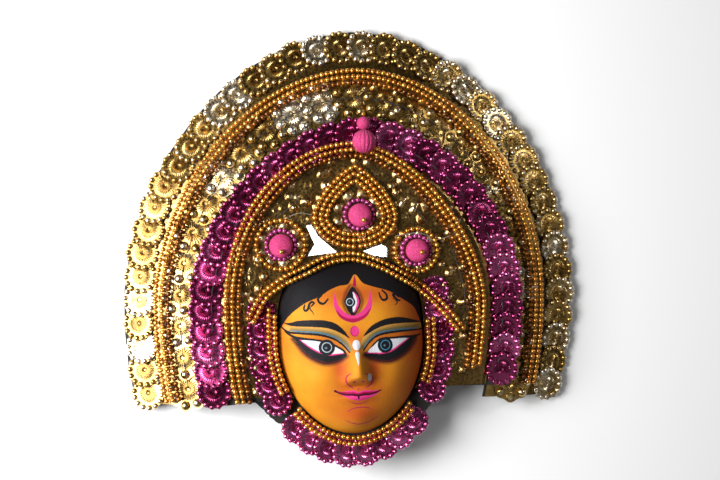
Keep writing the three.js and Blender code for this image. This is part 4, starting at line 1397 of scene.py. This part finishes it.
def circle_of(x, y, z, radius, count):
    """Places spread evenly round a circle, from its right."""
    turns = [2 * math.pi * i / count for i in range(count)]
    return [(x + radius * math.cos(turn), y + radius * math.sin(turn), z) for turn in turns]


def separate_beads(name, spots, radius, detail=2):
    """Round beads at given places, joined to one piece."""
    bpy.ops.object.select_all(action="DESELECT")
    bpy.ops.mesh.primitive_ico_sphere_add(subdivisions=detail, radius=radius * MM)
    beads = new_piece(name)
    first, *others = [place(*spot) for spot in spots]
    beads.data.transform(Matrix.Translation(first))
    bpy.ops.object.mode_set(mode="EDIT")
    for spot in others:
        bpy.ops.mesh.primitive_ico_sphere_add(subdivisions=detail, radius=radius * MM, location=spot)
    bpy.ops.object.mode_set(mode="OBJECT")
    bpy.ops.object.shade_smooth()
    return beads


bead_purple, nodes, links, shader, clouds = mottled_finish(
    "bead_purple",
    (0.42, 0.03, 0.20),
    0.22,
    0.3,
    (180.0, 900.0),
    "Patches",
    ((0.20, 0.01, 0.10), (0.62, 0.08, 0.32)),
)
shader.inputs["Coat Weight"].default_value = 0.6

pink_fluff, nodes, links, shader = new_finish("pink_fluff", (0.82, 0.06, 0.32), 0.6)
clouds = add_unevenness(nodes, 260.0, 1800.0)
tufts = add_ramp(
    nodes,
    links,
    clouds.outputs["Grain"],
    ((0.3, (0.46, 0.004, 0.08)), (0.5, (0.62, 0.015, 0.165)), (0.7, (0.74, 0.11, 0.33))),
)
# Painted shade: the fluff turns a deeper crimson where its surface turns away from view.
slant = nodes.new("ShaderNodeLayerWeight")
slant.inputs["Blend"].default_value = 0.35
fluff_with_edge_shade = mixed(nodes, links, slant.outputs["Facing"], tufts, (0.34, 0.004, 0.07))
links.new(fluff_with_edge_shade, shader.inputs["Base Color"])
add_bump(nodes, links, shader, clouds.outputs["Height"], 0.35)
shader.inputs["Sheen Weight"].default_value = 0.03
shader.inputs["Sheen Roughness"].default_value = 0.4
shader.inputs["Sheen Tint"].default_value = (1.0, 0.6, 0.8, 1.0)


def fluff_ball(name, node, x, y, z, radius, rise, flutes=0, pole="Z", lean=(0.0, 0.0)):
    """A wound ball of fluff, z the level of its foot and rise its height; flutes run from pole to pole."""
    bpy.ops.object.select_all(action="DESELECT")
    bpy.ops.mesh.primitive_uv_sphere_add(segments=96, ring_count=40, radius=1.0)
    ball = new_piece(name)
    for vertex in ball.data.vertices:
        spot = vertex.co.copy()
        turn = math.atan2(spot.y, spot.x)
        groove = 1 - 0.08 * (1 - abs(math.sin(flutes * turn / 2))) ** 2 * math.hypot(spot.x, spot.y)
        winding = 1 + 0.012 * math.cos(22 * math.pi * spot.z) + 0.02 * noise.noise(spot * 14.0)
        spot *= min(1.0, (groove if flutes else 1.0) * winding - 0.01)
        if pole == "Y":
            spot = Vector((spot.x, spot.z, spot.y))
        elif spot.z > 0:
            spot.x, spot.y = spot.x * (1 - 0.12 * spot.z), spot.y * (1 - 0.12 * spot.z)
        up = (spot.z + 1) / 2
        aside = max(0.0, up) ** 2.5
        across, along = spot.x * radius, spot.y * radius
        vertex.co = place(x + across + lean[0] * aside, y + along + lean[1] * aside, z + rise * up)
    if pole == "Y":
        ball.data.flip_normals()
    bpy.ops.object.shade_smooth()
    finish_piece(ball, pink_fluff, node)


def knob_in_ring(name, x, y, lean):
    """A ball of fluff with its ring of purple beads and its gold pin, each standing for its own solid."""
    fluff_ball(
        f"{name}_fluff", f"{name}_knob", x, y, plate_front, knob_radius, knob_height, lean=lean
    )
    spots = circle_of(x, y, plate_front + purple_bead_radius, purple_ring_radius, purple_bead_count)
    ring = separate_beads(f"{name}_purple_beads", spots, purple_bead_radius)
    finish_piece(ring, bead_purple, f"{name}_purple_ring")
    head = (x + lean[0], y + lean[1], plate_front + knob_height + pin_rise)
    pin = separate_beads(f"{name}_pin_head", [head], pin_radius, 3)
    finish_piece(pin, bead_gold, f"{name}_pin")


knob_in_ring("pear", *pear_knob, pear_knob_lean)

# Two round medallions over the temples: the same ball, ring and pin, each on a round foil plate that is edged
# with one string of slightly smaller beads.
medallion_bead_radius = 2.7
for name, x, y, ring_radius, lean in (
    ("left_medallion", -75.0, 57.5, 24.9, (-0.3, -7.0)),
    ("right_medallion", 64.0, 52.0, 22.0, (4.0, -2.0)),
):
    circle = [
        (x + ring_radius * math.sin(2 * math.pi * i / 64), y - ring_radius * math.cos(2 * math.pi * i / 64))
        for i in range(65)
    ]
    relief_plate(f"{name}_foil", f"{name}_plate", x, y, circle, 50, (x, y), ring_radius)
    bead_count = int(2 * math.pi * ring_radius / bead_pitch)
    spots = circle_of(x, y, plate_front + cord_height, ring_radius, bead_count)
    string = separate_beads(f"{name}_string", spots, medallion_bead_radius)
    finish_piece(string, bead_gold, f"{name}_bead_string")
    knob_in_ring(name, x, y, lean)

# Finial: a large fluted ball of pink fluff, a small plain one and a gold bead, tied down in a row over the
# top of the inner bundle and the purple rosettes.
large_x, large_y, large_radius, large_flutes = 8.0, 162.0, 12.0, 16
small_x, small_y, small_radius = 9.0, 181.3, 7.0
tip_y, tip_radius = 190.8, 2.2
large_z = crown_height(large_x, large_y) + inner_high + cord_height + slack
small_z = on_inner(large_x, small_y) + rosette_thickness + rosette_step / 2 + slack
fluff_ball(
    "finial_large_fluff",
    "finial_large_ball",
    large_x,
    large_y,
    large_z,
    large_radius,
    2 * large_radius,
    large_flutes,
    "Y",
)
fluff_ball(
    "finial_small_fluff",
    "finial_small_ball",
    small_x,
    small_y,
    small_z,
    small_radius,
    2 * small_radius,
    pole="Y",
)
tip = separate_beads("finial_tip_bead", [(small_x, tip_y, small_z + small_radius)], tip_radius, 3)
finish_piece(tip, bead_gold, "finial_gold_bead")

# Two strings over the forehead: gold beads on cotton, laid along the hair line and down both temples to the
# inner bundle, over the purple rosettes there.
temple_start, temple_end, temple_lift = 68.5, 76.5, 4.6
string_reach = 3.3
forehead_route = [
    (-1.45, -17.0), (-1.275, 7.0), (-0.993, 23.0), (-0.698, 34.0), (-0.376, 45.0), (-0.013, 49.0),
    (0.349, 41.0), (0.658, 29.0), (0.926, 18.0), (1.289, -7.0), (1.517, -28.0),
]
forehead_line = smooth_line([(share * face_size[0], y) for share, y in forehead_route], steps=9)


def forehead_height(x, y):
    """Centre height of a string that lies on the highest of foil, side rosettes and brow."""
    over_rosettes = float(soft_step(abs(x), temple_start, temple_end))
    highest = crown_height(x, y) + on_foil_sheet + over_rosettes * temple_lift
    turns = np.arange(8) * math.pi / 4
    u, v = crown_to_face(x + string_reach * np.cos(turns), y + string_reach * np.sin(turns))
    return max(highest, float((brim_front + face_rise(u, v)).max())) + cord_height + 2 * slack


for number, offset in ((1, 0.0), (2, -string_pitch)):
    points = lifted(spread(moved(forehead_line, offset), 60), forehead_height)
    string_of_beads(f"forehead_string_{number}", f"forehead_bead_string_{number}", points, bead_gold)

# Purple rosettes beside the face and under the chin: the same stamped film, a little smaller, sewn to the
# foil and to the brim. Pairs of strings of gold beads lie on their inner edge.
side_gap, chin_gap = 17.5, 19.0
side_radius, chin_radius = 15.5, 17.0
side_string_height, chin_string_height = 53.1, 46.5


def on_foil(x, y):
    """Level of the inner crown's foil."""
    return crown_height(x, y) + on_foil_sheet


def on_brim(x, y):
    """Level of the brim, which is flat."""
    return brim_front + slack


# The last column is painted light: the chin row, and a little the left row, brightened as if lit by the lamp.
for name, node, line, count, radius, height_at, seed, painted_brightening in (
    ("left", "left_side", face_line(side_gap, 214, 157), 6, side_radius, on_foil, 41, 0.1),
    ("right", "right_side", face_line(side_gap, -32, 30), 6, side_radius, on_foil, 43, 0.0),
    ("chin", "chin", face_line(chin_gap, 234, 306), 8, chin_radius, on_brim, 47, 0.9),
):
    places, scale = spread(line, count), radius / rosette_radius
    row = lay_row(
        f"{name}_purple_rosettes", small_die, places, height_at, seed, scale=scale, painted_brightening=painted_brightening
    )
    finish_piece(row, purple_film, f"{node}_rosettes")
for name, start, end, height in (
    ("left_cheek", 211, 154, side_string_height),
    ("right_cheek", -29, 16, side_string_height),
    ("chin", 228, 312, chin_string_height),
):
    for number, offset in ((1, 4.0), (2, 10.2)):
        points = [(x, y, height) for x, y, _ in spread(face_line(offset, start, end), 60)]
        string_of_beads(f"{name}_string_{number}", f"{name}_bead_string_{number}", points, bead_gold)

# Ties: grey cotton whose ends were left standing where the ornaments were tied down, and black cotton laid
# over the foil of the inner crown.
grey_thread, nodes, links, shader, clouds = mottled_finish(
    "grey_thread",
    (0.28, 0.26, 0.22),
    0.8,
    0.0,
    thread_scales,
    "Grain",
    ((0.16, 0.15, 0.13), (0.42, 0.40, 0.35)),
)
ties = (
    (
        (42.1, 66.5, 52.5), (53.5, 68.5, 55.5), (61.8, 69.6, 57.5), (74.3, 67.5, 55.5),
        (80.5, 62.4, 53.0), (98.2, 66.5, 51.0), (105.6, 72.7, 51.5), (109.7, 84.0, 52.0),
    ),
    ((93.0, 69.1, 51.0), (96.0, 73.0, 53.0), (98.2, 77.8, 51.5)),
    ((98.2, 66.5, 51.0), (106.0, 69.5, 50.0), (113.0, 66.0, 51.0)),
    ((-66.6, 86.3, 53.0), (-55.4, 89.8, 54.5), (-44.2, 87.8, 53.5)),
)
threads("grey_ties", [smooth_line(tie) for tie in ties], 0.3, grey_thread)
dark_ties = (
    ((100.3, 55.2, 47.5), (107.6, 36.7, 47.5), (115.0, 9.9, 46.5), (113.9, -12.8, 46.0)),
    ((-57.4, 103.0, 48.0), (-71.7, 90.8, 48.5), (-80.8, 83.7, 48.5)),
    ((57.7, 98.3, 48.5), (66.0, 92.0, 49.5), (75.3, 80.9, 48.5)),
)
threads("black_ties", [smooth_line(tie) for tie in dark_ties], 0.38, black_thread)

# The two dies were only patterns for the rows.
for die in (small_die, large_die):
    bpy.data.objects.remove(die)
